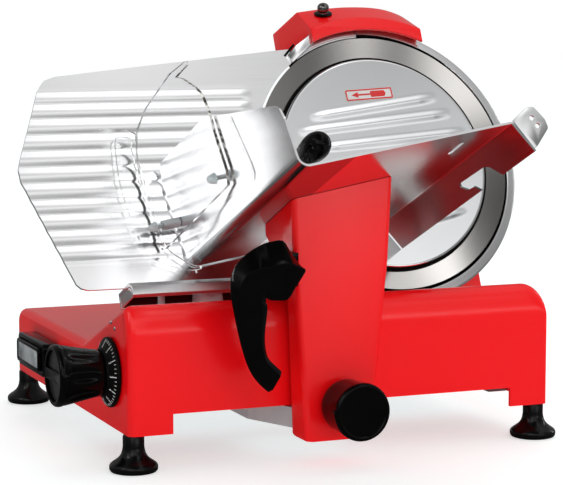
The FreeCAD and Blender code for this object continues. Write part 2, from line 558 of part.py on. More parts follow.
# ================================================================ index knob, dial, spindle and snail cam
KX = turned(V(0, NUM["knob_y"], NUM["knob_z"]), X1)
KXn = Pl(V(0, NUM["knob_y"], NUM["knob_z"]), Rot(V(0, 0, 1), V(0, 1, 0), V(-1, 0, 0), "XYZ"))   # sketch x = Z, y = Y, pad along -X
dl = body_at("index_dial", KX)
s2 = D("spindle2")
revolve(dl, "dial_rev", [[(s2 + D("fit_gap"), -195.0), (D("dial_rad") - 0.8, -195.0), (D("dial_rad"), -195.8), (D("dial_rad"), -197.6), (D("dial_rad") - 1.0, -198.6),
                          (20.5, -203.0), (20.0, -204.5), (s2 + D("fit_gap"), -204.5)]])
node("index_dial", dl)
kb = body_at("index_knob", KX)
revolve(kb, "knob_rev", [[(s2 + D("fit_gap"), -204.7), (19.0, -204.7), (19.8, -206.0), (21.0, -214.0), (23.4, -226.0), (25.6, -236.0), (26.2, -241.0), (25.8, -244.5), (24.0, -246.3),
                          (0.0, -246.3), (0.0, -239.1), (s2 + D("fit_gap"), -239.1)]])
doc.recompute()
kn = body_at("knob_tools", KXn)
# half-moon recesses each side of the grip bar
mo = []
for sgn in (1, -1):
    pts = []
    for k in range(13):
        a = math.radians(-77 + 154.0 * k / 12)
        pts.append((sgn * max(22.5 * math.cos(a), 4.2) if k not in (0, 12) else sgn * 4.2, 22.5 * math.sin(a)))
    mo.append(pts)
pad(kn, "moon_a", [mo[0]], 241.8, 250.0)
doc.recompute()
kn2 = body_at("knob_tools2", KXn)
pad(kn2, "moon_b", [mo[1]], 241.8, 250.0)
node("index_knob", boolean("Cut", "index_knob_cut", kb, boolean("MultiFuse", "knob_cutters", kn, [kn2])))
node("index_spindle", cyl("index_spindle", V(-239.0, NUM["knob_y"], NUM["knob_z"]), X1, s2, 167.0))
# snail cam: radius grows evenly against the dial's turn, measured from the follower's side (+Y)
cm = body_at("index_cam", Pl(V(-84.0, NUM["knob_y"], NUM["knob_z"]), YZX))
cpts = []
NSTEP = 44
for k in range(-2, NSTEP + 1):
    t = 330.0 * k / NSTEP if k >= 0 else 10.0 * k
    rad = NUM["cam_low"] + NUM["cam_rise"] * max(t, 0.0) / 330.0
    a = math.radians(-t)
    cpts.append((rad * math.cos(a), rad * math.sin(a)))
pad(cm, "cam_pad", [cpts, ("c", 0.0, 0.0, s2 + D("fit_gap"))], 0.0, 8.0)
node("index_cam", cm)

# ================================================================ switch, gland, capacitor
so = boxw("switch_block", -209.3, -194.4, 30.0, 116.0, 47.0, 77.0)
so_in = boxw("switch_in", -211.0, -196.4, 36.0, 110.0, 51.0, 73.0)
so_back = boxw("switch_back", -194.4, -184.0, 44.5, 97.5, 52.5, 71.5)
node("switch_housing", boolean("Cut", "switch_housing", boolean("MultiFuse", "switch_solid", so, [so_back]), so_in))
bt_o = boxw("boot_o", -213.3, -208.2, 36.3, 109.7, 51.3, 72.7)
bt_i = boxw("boot_i", -212.1, -208.0, 37.8, 108.2, 52.8, 71.2)
node("switch_boot", boolean("Cut", "switch_boot", bt_o, bt_i))
rk = body_at("rocker_blank", Pl(V(0, 0, 54.0), Rot()))
pad(rk, "rocker_pad", [[(-200.0, 47.5), (-207.9, 46.5), (-205.0, 73.0), (-205.2, 99.5), (-200.0, 98.5), (-199.5, 73.0)]], 0.0, 16.0)
node("switch_rocker", rk)
cg = body_at("cord_gland", turned(V(-150.0, 0, 58.0), Y1))
revolve(cg, "gland_rev", [[(4.2, 168.0), (8.0, 168.0), (8.0, 175.05), (12.5, 175.05), (12.5, 181.0), (10.0, 182.0), (7.5, 193.0), (4.2, 193.0)]])
node("cord_gland", cg)
node("capacitor", cyl("capacitor", V(60.0, 120.0, 62.0), X1, 17.0, 70.0))

# ================================================================ carriage guide
ry, rz = NUM["rod_y"], NUM["rod_z"]
node("guide_rod", cyl("guide_rod", V(-188.0, ry, rz), X1, D("rod_rad"), 376.0))
rb = boolean("MultiFuse", "rbk", boxw("rbk0", -half + w, -half + w + 18, -107.0, -83.0, 31.0, 54.0), [boxw("rbk1", half - w - 18, half - w, -107.0, -83.0, 31.0, 54.0)])
node("rod_brackets", boolean("Cut", "rod_brackets", rb, cyl("rbk_bore", V(-188.0, ry, rz), X1, D("rod_rad") + 0.02, 376.0)))
blk = body_at("block_blank")
pad(blk, "block_pad", [[(-46.0, -203.0), (-3.0, -203.0), (-3.0, -178.0), (22.0, -122.0), (22.0, -70.0), (-70.0, -70.0), (-70.0, -122.0), (-46.0, -178.0)]], 27.5, 45.0)
pad(blk, "block_top", [[(-70.0, -116.0), (22.0, -116.0), (22.0, -74.0), (-70.0, -74.0)]], 44.0, 50.0)
pad(blk, "lock_boss", [[(-32.0, -203.0), (-4.0, -203.0), (-4.0, -184.0), (-32.0, -184.0)]], 44.0, 62.0)
doc.recompute()
bb_bore = cyl("block_bore", V(-80.0, ry, rz), X1, D("bush_rad") + D("fit_gap"), 120.0)
bb_stud = cyl("block_stud", V(NUM["lock_x"], -206.0, NUM["lock_z"]), Y1, 4.0 + D("fit_gap"), 24.0)
node("carriage_block", boolean("Cut", "carriage_block", blk, boolean("MultiFuse", "block_cutters", bb_bore, [bb_stud])))
bu = []
for k, x0 in enumerate((-70.0, 2.0)):
    o = body_at("bush%d" % k, turned(V(0, ry, rz), X1))
    revolve(o, "bush%d_rev" % k, [[(D("rod_rad") + D("fit_gap"), x0), (D("bush_rad"), x0), (D("bush_rad"), x0 + 20), (D("rod_rad") + D("fit_gap"), x0 + 20)]])
    bu.append(o)
node("carriage_bushes", group("carriage_bushes", bu))

# ================================================================ carriage arm: a casting open at the back
ar = body_at("arm_blank", Pl(V(0, 0, 0), YZX))
pad(ar, "arm_pad", [[(-212.0, 22.0), (-179.0, 22.0), (-179.0, 152.0), (-124.0, 190.0), (-124.0, 262.0), (-188.5, 262.0)]], -57.0, 36.5)
doc.recompute()
fillet(ar, "arm_round", lambda e: (at(e, "z", -57.0) or at(e, "z", 36.5)) and e.BoundBox.XMax < -186 and e.BoundBox.YMax - e.BoundBox.YMin > 100, 5.0)
right_cut = body_at("arm_right_cut", Pl(V(0, -100, 0), XZ_))
pad(right_cut, "arc_pad", [[(5.0, 0.0), (5.0, 22.0), (14.5, 70.0), (29.5, 168.0), (36.5, 240.0), (60.0, 270.0), (80.0, 270.0), (80.0, 0.0)]], 0.0, 140.0)
left_cut = body_at("arm_left_cut", Pl(V(0, -100, 0), XZ_))
pad(left_cut, "alc_pad", [[(-52.0, 0.0), (-52.0, 22.0), (-57.0, 150.0), (-80.0, 150.0), (-80.0, 0.0)]], 0.0, 140.0)
top_cut = boxw("arm_top_cut", -200.0, 400.0, D("tray_thk") * -1, 200.0, -100.0, 400.0, placement=TP)
hol = body_at("arm_hollow", Pl(V(0, 0, 0), YZX))
pad(hol, "hollow_pad", [[(-207.5, 27.0), (-170.0, 27.0), (-170.0, 158.5), (-118.0, 194.5), (-118.0, 240.0), (-185.0, 240.0)]], -52.0, 0.0)
hol2 = body_at("arm_hollow_top", Pl(V(0, 0, 0), YZX))
pad(hol2, "hollow2_pad", [[(-200.0, 90.0), (-170.0, 90.0), (-170.0, 158.5), (-118.0, 194.5), (-118.0, 240.0), (-185.5, 240.0)]], -0.5, 24.0)
top_keep = boxw("arm_top_keep", -200.0, 400.0, D("tray_thk") * -1 - 4.5, 200.0, -100.0, 400.0, placement=TP)
hollow = boolean("Cut", "arm_hollow_trim", boolean("MultiFuse", "arm_hollows", hol, [hol2]), top_keep)
lock_hole = cyl("lock_hole", V(NUM["lock_x"], -215.0, NUM["lock_z"]), Y1, 4.0 + D("fit_gap"), 14.0)
lh = boolean("MultiFuse", "arm_cutters", right_cut, [left_cut, top_cut, hollow, lock_hole])
node("carriage_arm", boolean("Cut", "carriage_arm", ar, lh))

# ================================================================ tray: folded sheet, wall to the operator, lip on the far edge
tb = body_at("tray_sheet", TP)
tt = D("tray_thk")


def arc_pts(cx, cy, r, a0, a1, n):
    return [(cx + r * math.cos(math.radians(a0 + (a1 - a0) * k / n)), cy + r * math.sin(math.radians(a0 + (a1 - a0) * k / n))) for k in range(n + 1)]


def tray_section(L, W):
    inner = arc_pts(L + 8.0, 8.0, 8.0, 180.0, 270.0, 6)
    outer = arc_pts(L + 8.0, 8.0, 8.0 + NUM["tray_thk"], 270.0, 180.0, 6)
    return [[(L, D("wall_high"))] + inner + [(W - 1.2, 0.0), (W + 0.7, -1.1), (W + 12.9, -28.6), (W + 11.1, -29.4), (W - 1.2, -tt)] + outer + [(L - tt, D("wall_high"))]]


# the tray stands a little askew: its wall runs 10 mm further out at the blade's end
s_a = sketch(tb, "tray_near_sk", tray_section(-10.0, D("tray_w0")), D("tray_near"))
s_b = sketch(tb, "tray_far_sk", tray_section(0.0, D("tray_w1")), D("tray_far"))
lo = tb.newObject("PartDesign::AdditiveLoft", "tray_loft")
lo.Profile = s_a
lo.Sections = [s_b]
lo.Ruled = True
# the wall's top edge falls towards the outer end: sketch x = h, sketch y = up, pad along -w
WP = TP.multiply(Pl(V(0, 0, 0), Rot(V(0, 0, 1), V(0, 1, 0), V(-1, 0, 0), "XYZ")))
wc = body_at("wall_cut", WP)
pad(wc, "wall_cut_pad", [[(0.0, 96.0), (10.0, 100.0), (118.0, 100.5), (160.0, 83.0), (233.0, 60.0), (247.0, 56.0), (254.0, 50.0), (257.5, 40.0), (262.0, 40.0), (262.0, 120.0), (0.0, 120.0)]], -3.0, 16.0)
fl1 = boxw("flange_notch", 180.0, 230.0, -40.0, -15.5, 160.0, 198.0, placement=TP)
fl2 = boxw("flange_hook", 180.0, 230.0, -22.0, -14.5, 143.0, 161.0, placement=TP)
tab = body_at("tray_tab", TP)
pad(tab, "tab_pad", [[(195.0, -1.0), (213.0, 9.0), (216.5, 9.6), (219.5, 7.5), (226.8, -7.5), (226.6, -11.0), (224.0, -13.4), (208.9, -28.6), (206.4, -27.0)]], D("tray_far") - 2, D("tray_far"))
pocket(tab, "tab_holes", [("c", 215.0, -1.3, 2.6), ("c", 217.6, -8.2, 2.6)], D("tray_far") - 4, D("tray_far") + 2)
doc.recompute()
tray_solid = boolean("MultiFuse", "tray_solid", boolean("Cut", "tray_trim", tb, boolean("MultiFuse", "tray_cutters", wc, [fl1, fl2])), [tab])
scr_h = [cyl("gs_h0", local(TP, -20, 41.0, 123.0), TP.Rotation.multVec(X1), 2.05, 40.0), cyl("gs_h1", local(TP, -20, 38.5, 13.0), TP.Rotation.multVec(X1), 2.05, 40.0)]
node("food_tray", boolean("Cut", "food_tray", tray_solid, boolean("MultiFuse", "tray_screw_holes", scr_h[0], [scr_h[1]])))

# clear hand guard: a slanted shield on the wall, with a lip beside the gauge plate
gx = V(-22.4, 0, -125.0)
gx.normalize()
gz = gx.cross(V(0, 1, 0))
GP = TP.multiply(Pl(V(-8.8, 0, 131.0), Rot(gx, V(0, 1, 0), gz, "XYZ")))
gd = body_at("guard_shield", GP)
# sketch x = along the slant, y = up
pad(gd, "shield_pad", [[(-3.0, 30.0), (-7.5, 42.0), (-7.0, 60.0), (-7.0, 76.0), (-9.0, 90.0), (-7.5, 108.4), (-2.0, 118.5), (5.5, 126.5), (13.0, 134.5), (22.0, 139.6), (0.5, 141.0), (0.5, 145.0), (30.0, 146.0), (84.0, 135.5), (108.5, 124.5), (118.5, 109.5), (125.8, 90.0), (127.0, 66.0), (127.0, 18.5), (121.0, 17.5)]], -3.0, 0.0)
gli = body_at("guard_lip", TP)
pad(gli, "lip_pad", [[(-33.0, 134.0), (-40.0, 131.0), (-45.0, 125.0), (-49.0, 108.0), (-53.0, 85.0), (-53.0, 61.0), (-52.0, 37.0), (-46.0, 17.0), (-38.0, 8.0), (-26.0, 0.5),
                      (-12.0, -5.6), (-3.0, -5.6), (-3.0, -2.8), (-8.0, -2.8), (-12.5, 0.6), (-18.5, 7.0), (-25.0, 14.0), (-28.5, 22.0), (-28.5, 100.0), (-27.0, 118.0), (-24.0, 128.0)]], 4.5, 7.5)
guard0 = boolean("MultiFuse", "guard_solid", gd, [gli])
gh = [cyl("gh0", local(TP, -30, 41.0, 123.0), TP.Rotation.multVec(X1), 2.1, 40.0), cyl("gh1", local(TP, -50, 38.5, 13.0), TP.Rotation.multVec(X1), 2.1, 60.0)]
node("hand_guard", boolean("Cut", "hand_guard", guard0, boolean("MultiFuse", "guard_holes", gh[0], [gh[1]])))
wd = TP.Rotation.multVec(X1)
gs = []
for k, (h0, upv, w_head, w_nut) in enumerate(((123.0, 41.0, -14.7, -5.1), (13.0, 38.5, -34.9, -9.4))):
    hd_ = cyl("gsc_head%d" % k, local(TP, w_head - 2.6, upv, h0), wd, 4.0, 2.6)
    shk = cyl("gsc_shank%d" % k, local(TP, w_head - 0.1, upv, h0), wd, 2.0, w_nut - w_head + 6.0)
    nut = cyl("gsc_nut%d" % k, local(TP, w_nut, upv, h0), wd, 3.9, 4.0)
    gs.append(boolean("MultiFuse", "gsc%d" % k, hd_, [shk, nut]))
spc = boolean("Cut", "gsc_spacer", cyl("gsc_sp_o", local(TP, -28.6, 38.5, 13.0), wd, 4.5, 16.2), cyl("gsc_sp_i", local(TP, -30, 38.5, 13.0), wd, 2.05, 30.0))
node("guard_screws", group("guard_screws", gs + [spc]))

# ================================================================ handle on the arm's operator side
hn = body_at("handle_grip", Pl(V(0, -198.0, 0), XZ_))
pad(hn, "grip_pad", [[(-57.0, 156.0), (-57.0, 181.0), (-66.0, 189.0), (-76.0, 192.5), (-92.0, 190.5), (-106.0, 184.0), (-115.5, 175.0), (-121.0, 163.0), (-122.0, 148.0), (-119.5, 130.0), (-113.0, 102.0),
                      (-107.0, 88.0), (-99.0, 77.0), (-88.0, 68.0), (-83.0, 72.5), (-77.5, 85.0), (-85.0, 91.5), (-91.0, 99.0), (-93.0, 110.0), (-92.5, 125.0), (-90.0, 142.0), (-83.0, 144.5), (-74.0, 144.0), (-66.0, 148.0)]], 0.0, 27.0)
doc.recompute()
hr = fillet(hn, "grip_round", lambda e: (at(e, "z", 0.0) or at(e, "z", 27.0)) and e.CenterOfMass.x < -60, 4.0)
hboss = boxw("handle_foot", -72.0, -57.0, -205.0, -184.5, 152.0, 182.0)
node("carriage_handle", boolean("MultiFuse", "carriage_handle", hn, [hboss]))

lk = body_at("lock_knob", turned(V(NUM["lock_x"], 0, NUM["lock_z"]), V(0, -1, 0)))
lr = D("lock_rad")
revolve(lk, "lock_rev", [[(0.0, 186.0), (4.0, 186.0), (4.0, 212.4), (lr - 6, 212.4), (lr - 3, 213.6), (lr - 1.9, 217.0), (lr - 1.4, 224.0), (lr, 246.0), (lr - 0.4, 249.0), (lr - 2.0, 250.6),
                          (lr - 5.0, 251.4), (0.0, 251.4)]])
node("lock_knob", lk)

# ================================================================ pusher
PX = turned(local(TP, D("push_w"), D("push_up"), 0), NN)
pw, pu, pr = D("push_w"), D("push_up"), D("push_rad")
pb = boolean("Cut", "pusher_bracket", boxw("pb_box", -4.8, pw + 8, 13.0, 35.0, 120.0, 132.0, placement=TP),
             cyl("pb_bore", local(TP, pw, pu, 110.0), NN, pr + D("fit_gap"), 30.0))
node("pusher_bracket", pb)
node("pusher_rod", cyl("pusher_rod", local(TP, pw, pu, 22.0), NN, pr, 180.0))
pk = body_at("pusher_knob", PX)
kr = D("push_knob")
revolve(pk, "pknob_rev", [[(pr + D("fit_gap"), 188.0), (7.0, 188.0), (9.4, 191.0), (10.8, 200.0), (kr, 212.0), (kr - 0.3, 220.0), (kr - 1.6, 225.5), (kr - 4.2, 229.8), (kr - 7.6, 232.4), (0.0, 233.6),
                           (0.0, 202.1), (pr + D("fit_gap"), 202.1)]])
node("pusher_knob", pk)
pt = body_at("plate_sheet", TP)
pad(pt, "plate_pad", [[(23.5, 12.0), (60.0, 5.0), (170.0, 5.0), (174.0, 9.0), (174.0, 40.0), (168.0, 48.0), (44.0, 48.0), (30.0, 42.0), (23.5, 33.0)]], 24.0, 26.0)
pad(pt, "plate_hub", [("c", pw, pu, 9.0)], 25.5, 33.0)
pocket(pt, "plate_bore", [("c", pw, pu, pr + D("fit_gap"))], 20.0, 36.0)
doc.recompute()
teeth = []
for r_ in range(3):
    for c_ in range(8):
        teeth.append(prim("Cone", "tooth%d_%d" % (r_, c_), TP.multiply(Pl(V(62.0 + 14.0 * c_, 13.0 + 12.5 * r_, 24.3), Rot(V(1, 0, 0), 180))), Radius1=2.4, Radius2=0.3, Height=7.0))
node("pusher_plate", boolean("MultiFuse", "pusher_plate", pt, teeth))

# ================================================================ sharpener
sbk = boxw("sb_block", -14.0, 14.0, 112.0, 131.0, -37.0, D("ring_back"), placement=BP)
spost = cyl("sb_post", local(BP, 0, 130.0, -29.5), E2, 5.0, 22.0)
node("sharpener_base", boolean("MultiFuse", "sharpener_base", sbk, [spost]))
# hood: an arc-shaped band in front, sloping up to a flat-topped box behind it
HOOD_TOP = [(60.0, 154.5), (55.0, 157.8), (48.0, 161.0), (38.0, 164.2), (25.0, 166.2), (10.0, 166.9), (-8.0, 166.6), (-30.0, 164.7), (-42.0, 163.2), (-54.0, 161.5)]


def hood_section(left, right, low, top):
    """Lower arc of radius low about the blade's axis, straight sides, and a top given by a function of (u, table height)."""
    pts = []
    for k in range(9):
        u_ = left + (right - left) * k / 8.0
        pts.append((u_, math.sqrt(low ** 2 - u_ ** 2)))
    for tu, tv in HOOD_TOP:
        u_ = left + (right - left) * (tu + 54.0) / 114.0
        pts.append((u_, top(u_, tv)))
    return [pts]


def hood_loft(name, rows):
    b_ = body_at(name, BP)
    sks = [sketch(b_, name + "_sk%d" % k, hood_section(*row[1:]), row[0]) for k, row in enumerate(rows)]
    l_ = b_.newObject("PartDesign::AdditiveLoft", name + "_loft")
    l_.Profile = sks[0]
    l_.Sections = sks[1:]
    l_.Ruled = True
    return b_


def arc_top(r):
    return lambda u_, tv: math.sqrt(r ** 2 - (u_ - 2.5) ** 2)


sc = hood_loft("sharp_shell", [(-75.0, -59.0, 60.0, 139.0, lambda u_, tv: tv), (-21.6, -54.0, 60.0, 139.0, lambda u_, tv: tv), (5.0, -54.0, 60.0, 139.0, arc_top(144.3))])
si = hood_loft("sharp_cavity", [(-71.6, -55.5, 56.6, 130.5, lambda u_, tv: tv - 3.6), (-22.6, -50.6, 56.6, 130.5, lambda u_, tv: tv - 3.6), (2.0, -50.6, 56.6, 130.5, arc_top(140.6))])
lipb = body_at("sharp_lip", BP)
lo_ = [(-54.0 + 114.0 * k / 12.0) for k in range(13)]
pad(lipb, "sharp_lip_pad", [[(u_, math.sqrt(132.6 ** 2 - (u_ - 2.5) ** 2)) for u_ in lo_] + [(u_, math.sqrt(141.0 ** 2 - u_ ** 2)) for u_ in reversed(lo_)]], 2.0, 5.0)
doc.recompute()


def spin_about_blade(obj, start_deg):
    """The revolved sketch starts at +x of the blade frame; turn it to the given angle."""
    obj.Placement = Pl(B0, Rot(NN, start_deg).multiply(AX.Rotation))


node("sharpener_cover", sc)
SHARP = (sc, si)

# stones hang under the cover on short pins
stones = []
for nm, u0_, h0_, r0_ in (("grinding_stone", -27.0, -48.0, 14.0), ("deburring_stone", 29.0, -44.0, 12.0)):
    o = body_at(nm, turned(local(BP, u0_, 0, h0_), E2))
    revolve(o, nm + "_rev", [[(3.0 + D("fit_gap"), 139.0), (r0_, 139.0), (r0_, 144.5), (r0_ - 1.5, 146.0), (3.0 + D("fit_gap"), 146.0)]])
    node(nm, o)
    stones.append((u0_, h0_))
# the knob stands square on the sloping face
KQ = (-32.10, 154.15, -10.40)
KD = (-0.1179, 0.7314, 0.6717)
KN = BP.Rotation.multVec(V(*KD))
sk_ = body_at("sharpener_knob", turned(local(BP, *KQ), KN))
revolve(sk_, "sknob_rev", [[(0.0, -2.8), (5.2, -2.8), (5.2, 0.6), (8.3, 0.6), (8.5, 1.0), (8.4, 1.7), (5.2, 2.0), (4.9, 3.2), (5.4, 5.0), (5.6, 7.0), (5.2, 9.2), (4.2, 10.8), (0.0, 11.6)]])
node("sharpener_knob", sk_)

# ---------------------------------------------------------------- revolved arcs are turned to their place
doc.recompute()


def start_angle(shape_body):
    """Angle in the blade frame at which a partial revolution starts, from its sketch's +x."""
    d = shape_body.Placement.Rotation.multVec(X1)
    lx = d.dot(X1)
    ly = d.dot(E2)
    return math.degrees(math.atan2(ly, lx))


def sweep_sign(shape_body, r_mid, h_mid):
    """+1 when the partial revolution runs anticlockwise in the blade frame."""
    s = shape_body.Shape
    inv = BP.inverse()
    a0 = start_angle(shape_body)
    for sgn in (1, -1):
        a = math.radians(a0 + sgn * 10)
        p = BP.multVec(V(r_mid * math.cos(a), r_mid * math.sin(a), h_mid))
        if s.isInside(p, 0.01, True):
            return sgn
    return 0


def place_arc(bodyobj, r_mid, h_mid, lo_deg, sweep):
    a0 = start_angle(bodyobj)
    sgn = sweep_sign(bodyobj, r_mid, h_mid)
    start = lo_deg if sgn > 0 else lo_deg + sweep
    bodyobj.Placement = Pl(B0, Rot(NN, start - a0).multiply(bodyobj.Placement.Rotation))
    print("arc", bodyobj.Label, "sign", sgn, "start", start)


place_arc(rg, 132.0, -10.0, -125.0, R_SWEEP)
doc.recompute()

NODES = [(n, o) for n, o in NODES if n != "sharpener_cover"]
adds = []
for k, (u0_, h0_) in enumerate(stones):
    adds.append(cyl("stone_pin%d" % k, local(BP, u0_, 139.2, h0_), E2, 3.0, 23.5))
tube = cyl("post_tube", local(BP, 0, 141.0, -29.5), E2, 9.0, 23.5)
kb0 = [a + b * -11.5 for a, b in zip(KQ, KD)]
kboss = cyl("knob_boss", local(BP, *kb0), KN, 9.0, 10.9)
shell_s = boolean("Cut", "sharp_hollow", sc, si)
solid_s = boolean("MultiFuse", "sharp_fused", shell_s, adds + [tube, kboss, lipb])
# the knob's stem sits in a recess in the sloping face
post_bore = cyl("post_bore", local(BP, 0, 120.0, -29.5), E2, 5.05, 33.0)
ks0 = [a + b * -3.0 for a, b in zip(KQ, KD)]
seat_a = cyl("knob_seat_a", local(BP, *ks0), KN, 5.6, 16.0)
node("sharpener_cover", boolean("Cut", "sharpener_cover_cut", solid_s, boolean("MultiFuse", "cover_cutters", post_bore, [seat_a])))

# ---------------------------------------------------------------- checks and export
# every piece moves by the same amount, so that the frame's origin is the centre of the whole machine's box on the table
SHIFT = Pl(V(0, NUM["frame_shift"], 0), Rot())
doc.recompute()
for n, o in NODES:
    o.Placement = SHIFT.multiply(o.Placement)
doc.recompute()
bad = []
for o in doc.Objects:
    st_ = [s for s in o.State if s in ("Invalid", "Error")]
    if st_:
        bad.append((o.Name, st_))
for bodyobj, cut in CUTS:
    prev = cut.BaseFeature.Shape.Volume if getattr(cut, "BaseFeature", None) is not None else None
    if prev is not None and not cut.Shape.Volume < prev - 0.5:
        bad.append((cut.Name, "cuts nothing"))
names = [n for n, _ in NODES]
if len(set(names)) != len(names):
    bad.append(("names", "repeated"))
for n, o in NODES:
    s = o.Shape
    if s.isNull() or not s.isValid() or not s.Solids:
        bad.append((n, "null=%s valid=%s solids=%d" % (s.isNull(), s.isNull() or s.isValid(), 0 if s.isNull() else len(s.Solids))))
if bad:
    for x in bad:
        print("BAD", x)
    raise SystemExit("model has failed objects")
for n, o in NODES:
    o.Shape.exportStep("parts/%s.step" % n)
for n, o in NODES:
    bb = o.Shape.BoundBox
    print("%-20s solids %2d vol %10.1f  x %.1f..%.1f y %.1f..%.1f z %.1f..%.1f" % (n, len(o.Shape.Solids), o.Shape.Volume, bb.XMin, bb.XMax, bb.YMin, bb.YMax, bb.ZMin, bb.ZMax))
print("nodes", len(NODES))
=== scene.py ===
import math

import bmesh
import bpy
from mathutils import Matrix, Vector, noise


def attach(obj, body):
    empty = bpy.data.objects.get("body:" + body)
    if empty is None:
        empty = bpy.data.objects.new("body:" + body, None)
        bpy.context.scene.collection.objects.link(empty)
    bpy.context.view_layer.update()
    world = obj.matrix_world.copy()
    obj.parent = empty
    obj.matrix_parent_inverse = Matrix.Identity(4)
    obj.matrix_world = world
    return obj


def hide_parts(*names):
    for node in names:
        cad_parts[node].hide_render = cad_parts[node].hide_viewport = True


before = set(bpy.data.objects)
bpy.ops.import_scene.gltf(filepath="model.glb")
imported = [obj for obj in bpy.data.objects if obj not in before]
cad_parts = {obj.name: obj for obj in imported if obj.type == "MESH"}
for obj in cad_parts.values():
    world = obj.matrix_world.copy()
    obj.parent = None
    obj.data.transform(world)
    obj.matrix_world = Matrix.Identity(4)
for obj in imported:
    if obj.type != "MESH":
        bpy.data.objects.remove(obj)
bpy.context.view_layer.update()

MM = 0.001
SHIFT = Vector((0.0, 41.0, 0.0))

# ------------------------------------------------------------------ frames (millimetres in, metres out)
TH = math.radians(24.16)
PHI = math.radians(9.62)
UX = Vector((1, 0, 0))
E2 = Vector((0, math.sin(TH), math.cos(TH)))
NN = Vector((0, -math.cos(TH), math.sin(TH)))
B0 = Vector((114.4, -3.2, 236.4))
WX = UX * math.cos(PHI) + E2 * math.sin(PHI)
WU = E2 * math.cos(PHI) - UX * math.sin(PHI)
F0 = B0 - UX * 197.5 - E2 * 91.0


def mat4(x, y, z, o):
    o = (o + SHIFT) * MM
    return Matrix(((x.x, y.x, z.x, o.x), (x.y, y.y, z.y, o.y), (x.z, y.z, z.z, o.z), (0, 0, 0, 1)))


WORLD = mat4(UX, Vector((0, 1, 0)), Vector((0, 0, 1)), Vector((0, 0, 0)))
BP = mat4(UX, E2, NN, B0)
TP = mat4(WX, WU, NN, F0)


def axis_frame(origin, direction, up=Vector((0, 0, 1))):
    """local Z along direction"""
    z = direction.normalized()
    x = up.cross(z)
    if x.length < 1e-4:
        x = UX.copy()
    x.normalize()
    return mat4(x, z.cross(x), z, origin)


# ------------------------------------------------------------------ materials
def nodes_of(m):
    m.use_nodes = True
    return m.node_tree, m.node_tree.nodes["Principled BSDF"]


def coords(nt, scale=(1, 1, 1), rot=(0, 0, 0)):
    tc = nt.nodes.new("ShaderNodeTexCoord")
    mp = nt.nodes.new("ShaderNodeMapping")
    mp.inputs["Scale"].default_value = scale
    mp.inputs["Rotation"].default_value = rot
    nt.links.new(tc.outputs["Object"], mp.inputs["Vector"])
    return mp.outputs["Vector"]


def noise_tex(nt, vec, scale, detail=4.0, rough=0.55):
    n = nt.nodes.new("ShaderNodeTexNoise")
    n.inputs["Scale"].default_value = scale
    n.inputs["Detail"].default_value = detail
    n.inputs["Roughness"].default_value = rough
    nt.links.new(vec, n.inputs["Vector"])
    return n.outputs["Fac"]


def ramp(nt, fac, stops):
    r = nt.nodes.new("ShaderNodeValToRGB")
    e = r.color_ramp.elements
    e[0].position, e[0].color = stops[0][0], (*stops[0][1], 1)
    e[1].position, e[1].color = stops[-1][0], (*stops[-1][1], 1)
    for p, c in stops[1:-1]:
        x = e.new(p)
        x.color = (*c, 1)
    nt.links.new(fac, r.inputs["Fac"])
    return r.outputs["Color"]


def remap(nt, fac, lo, hi):
    r = nt.nodes.new("ShaderNodeMapRange")
    r.inputs["To Min"].default_value = lo
    r.inputs["To Max"].default_value = hi
    nt.links.new(fac, r.inputs["Value"])
    return r.outputs["Result"]


def bump(nt, fac, bsdf, strength, dist=0.001):
    b = nt.nodes.new("ShaderNodeBump")
    b.inputs["Strength"].default_value = strength
    b.inputs["Distance"].default_value = dist
    nt.links.new(fac, b.inputs["Height"])
    nt.links.new(b.outputs["Normal"], bsdf.inputs["Normal"])
    return b


def new_mat(name, **k):
    m = bpy.data.materials.new(name)
    nt, b = nodes_of(m)
    for key, v in k.items():
        b.inputs[key.replace("_", " ")].default_value = v
    return m, nt, b


def enamel(name, lo, hi, rough=(0.20, 0.30), spec=0.42):
    m, nt, b = new_mat(name, Metallic=0.0, Specular_IOR_Level=spec)
    v = coords(nt)
    nt.links.new(ramp(nt, noise_tex(nt, v, 9.0, 3), [(0.3, lo), (0.7, hi)]), b.inputs["Base Color"])
    nt.links.new(remap(nt, noise_tex(nt, v, 60.0, 4), *rough), b.inputs["Roughness"])
    bump(nt, noise_tex(nt, v, 1400.0, 2), b, 0.03, 0.0006)
    return m


def brushed(name, lo, hi, rough, stretch, rot=(0, 0, 0), strength=0.05, aniso=0.0, tangent=None):
    """metal with grain drawn out along one axis"""
    m, nt, b = new_mat(name, Metallic=1.0, Anisotropic=aniso)
    v = coords(nt, stretch, rot)
    g = noise_tex(nt, v, 1.0, 5, 0.6)
    v2 = coords(nt)
    broad = noise_tex(nt, v2, 14.0, 3)
    mix = nt.nodes.new("ShaderNodeMix")
    mix.data_type = "FLOAT"
    mix.inputs["Factor"].default_value = 0.35
    nt.links.new(g, mix.inputs[2])
    nt.links.new(broad, mix.inputs[3])
    nt.links.new(ramp(nt, mix.outputs[0], [(0.25, lo), (0.75, hi)]), b.inputs["Base Color"])
    nt.links.new(remap(nt, g, *rough), b.inputs["Roughness"])
    bump(nt, g, b, strength, 0.0004)
    if tangent:
        t = nt.nodes.new("ShaderNodeTangent")
        t.direction_type = "RADIAL"
        t.axis = tangent
        nt.links.new(t.outputs["Tangent"], b.inputs["Tangent"])
    return m


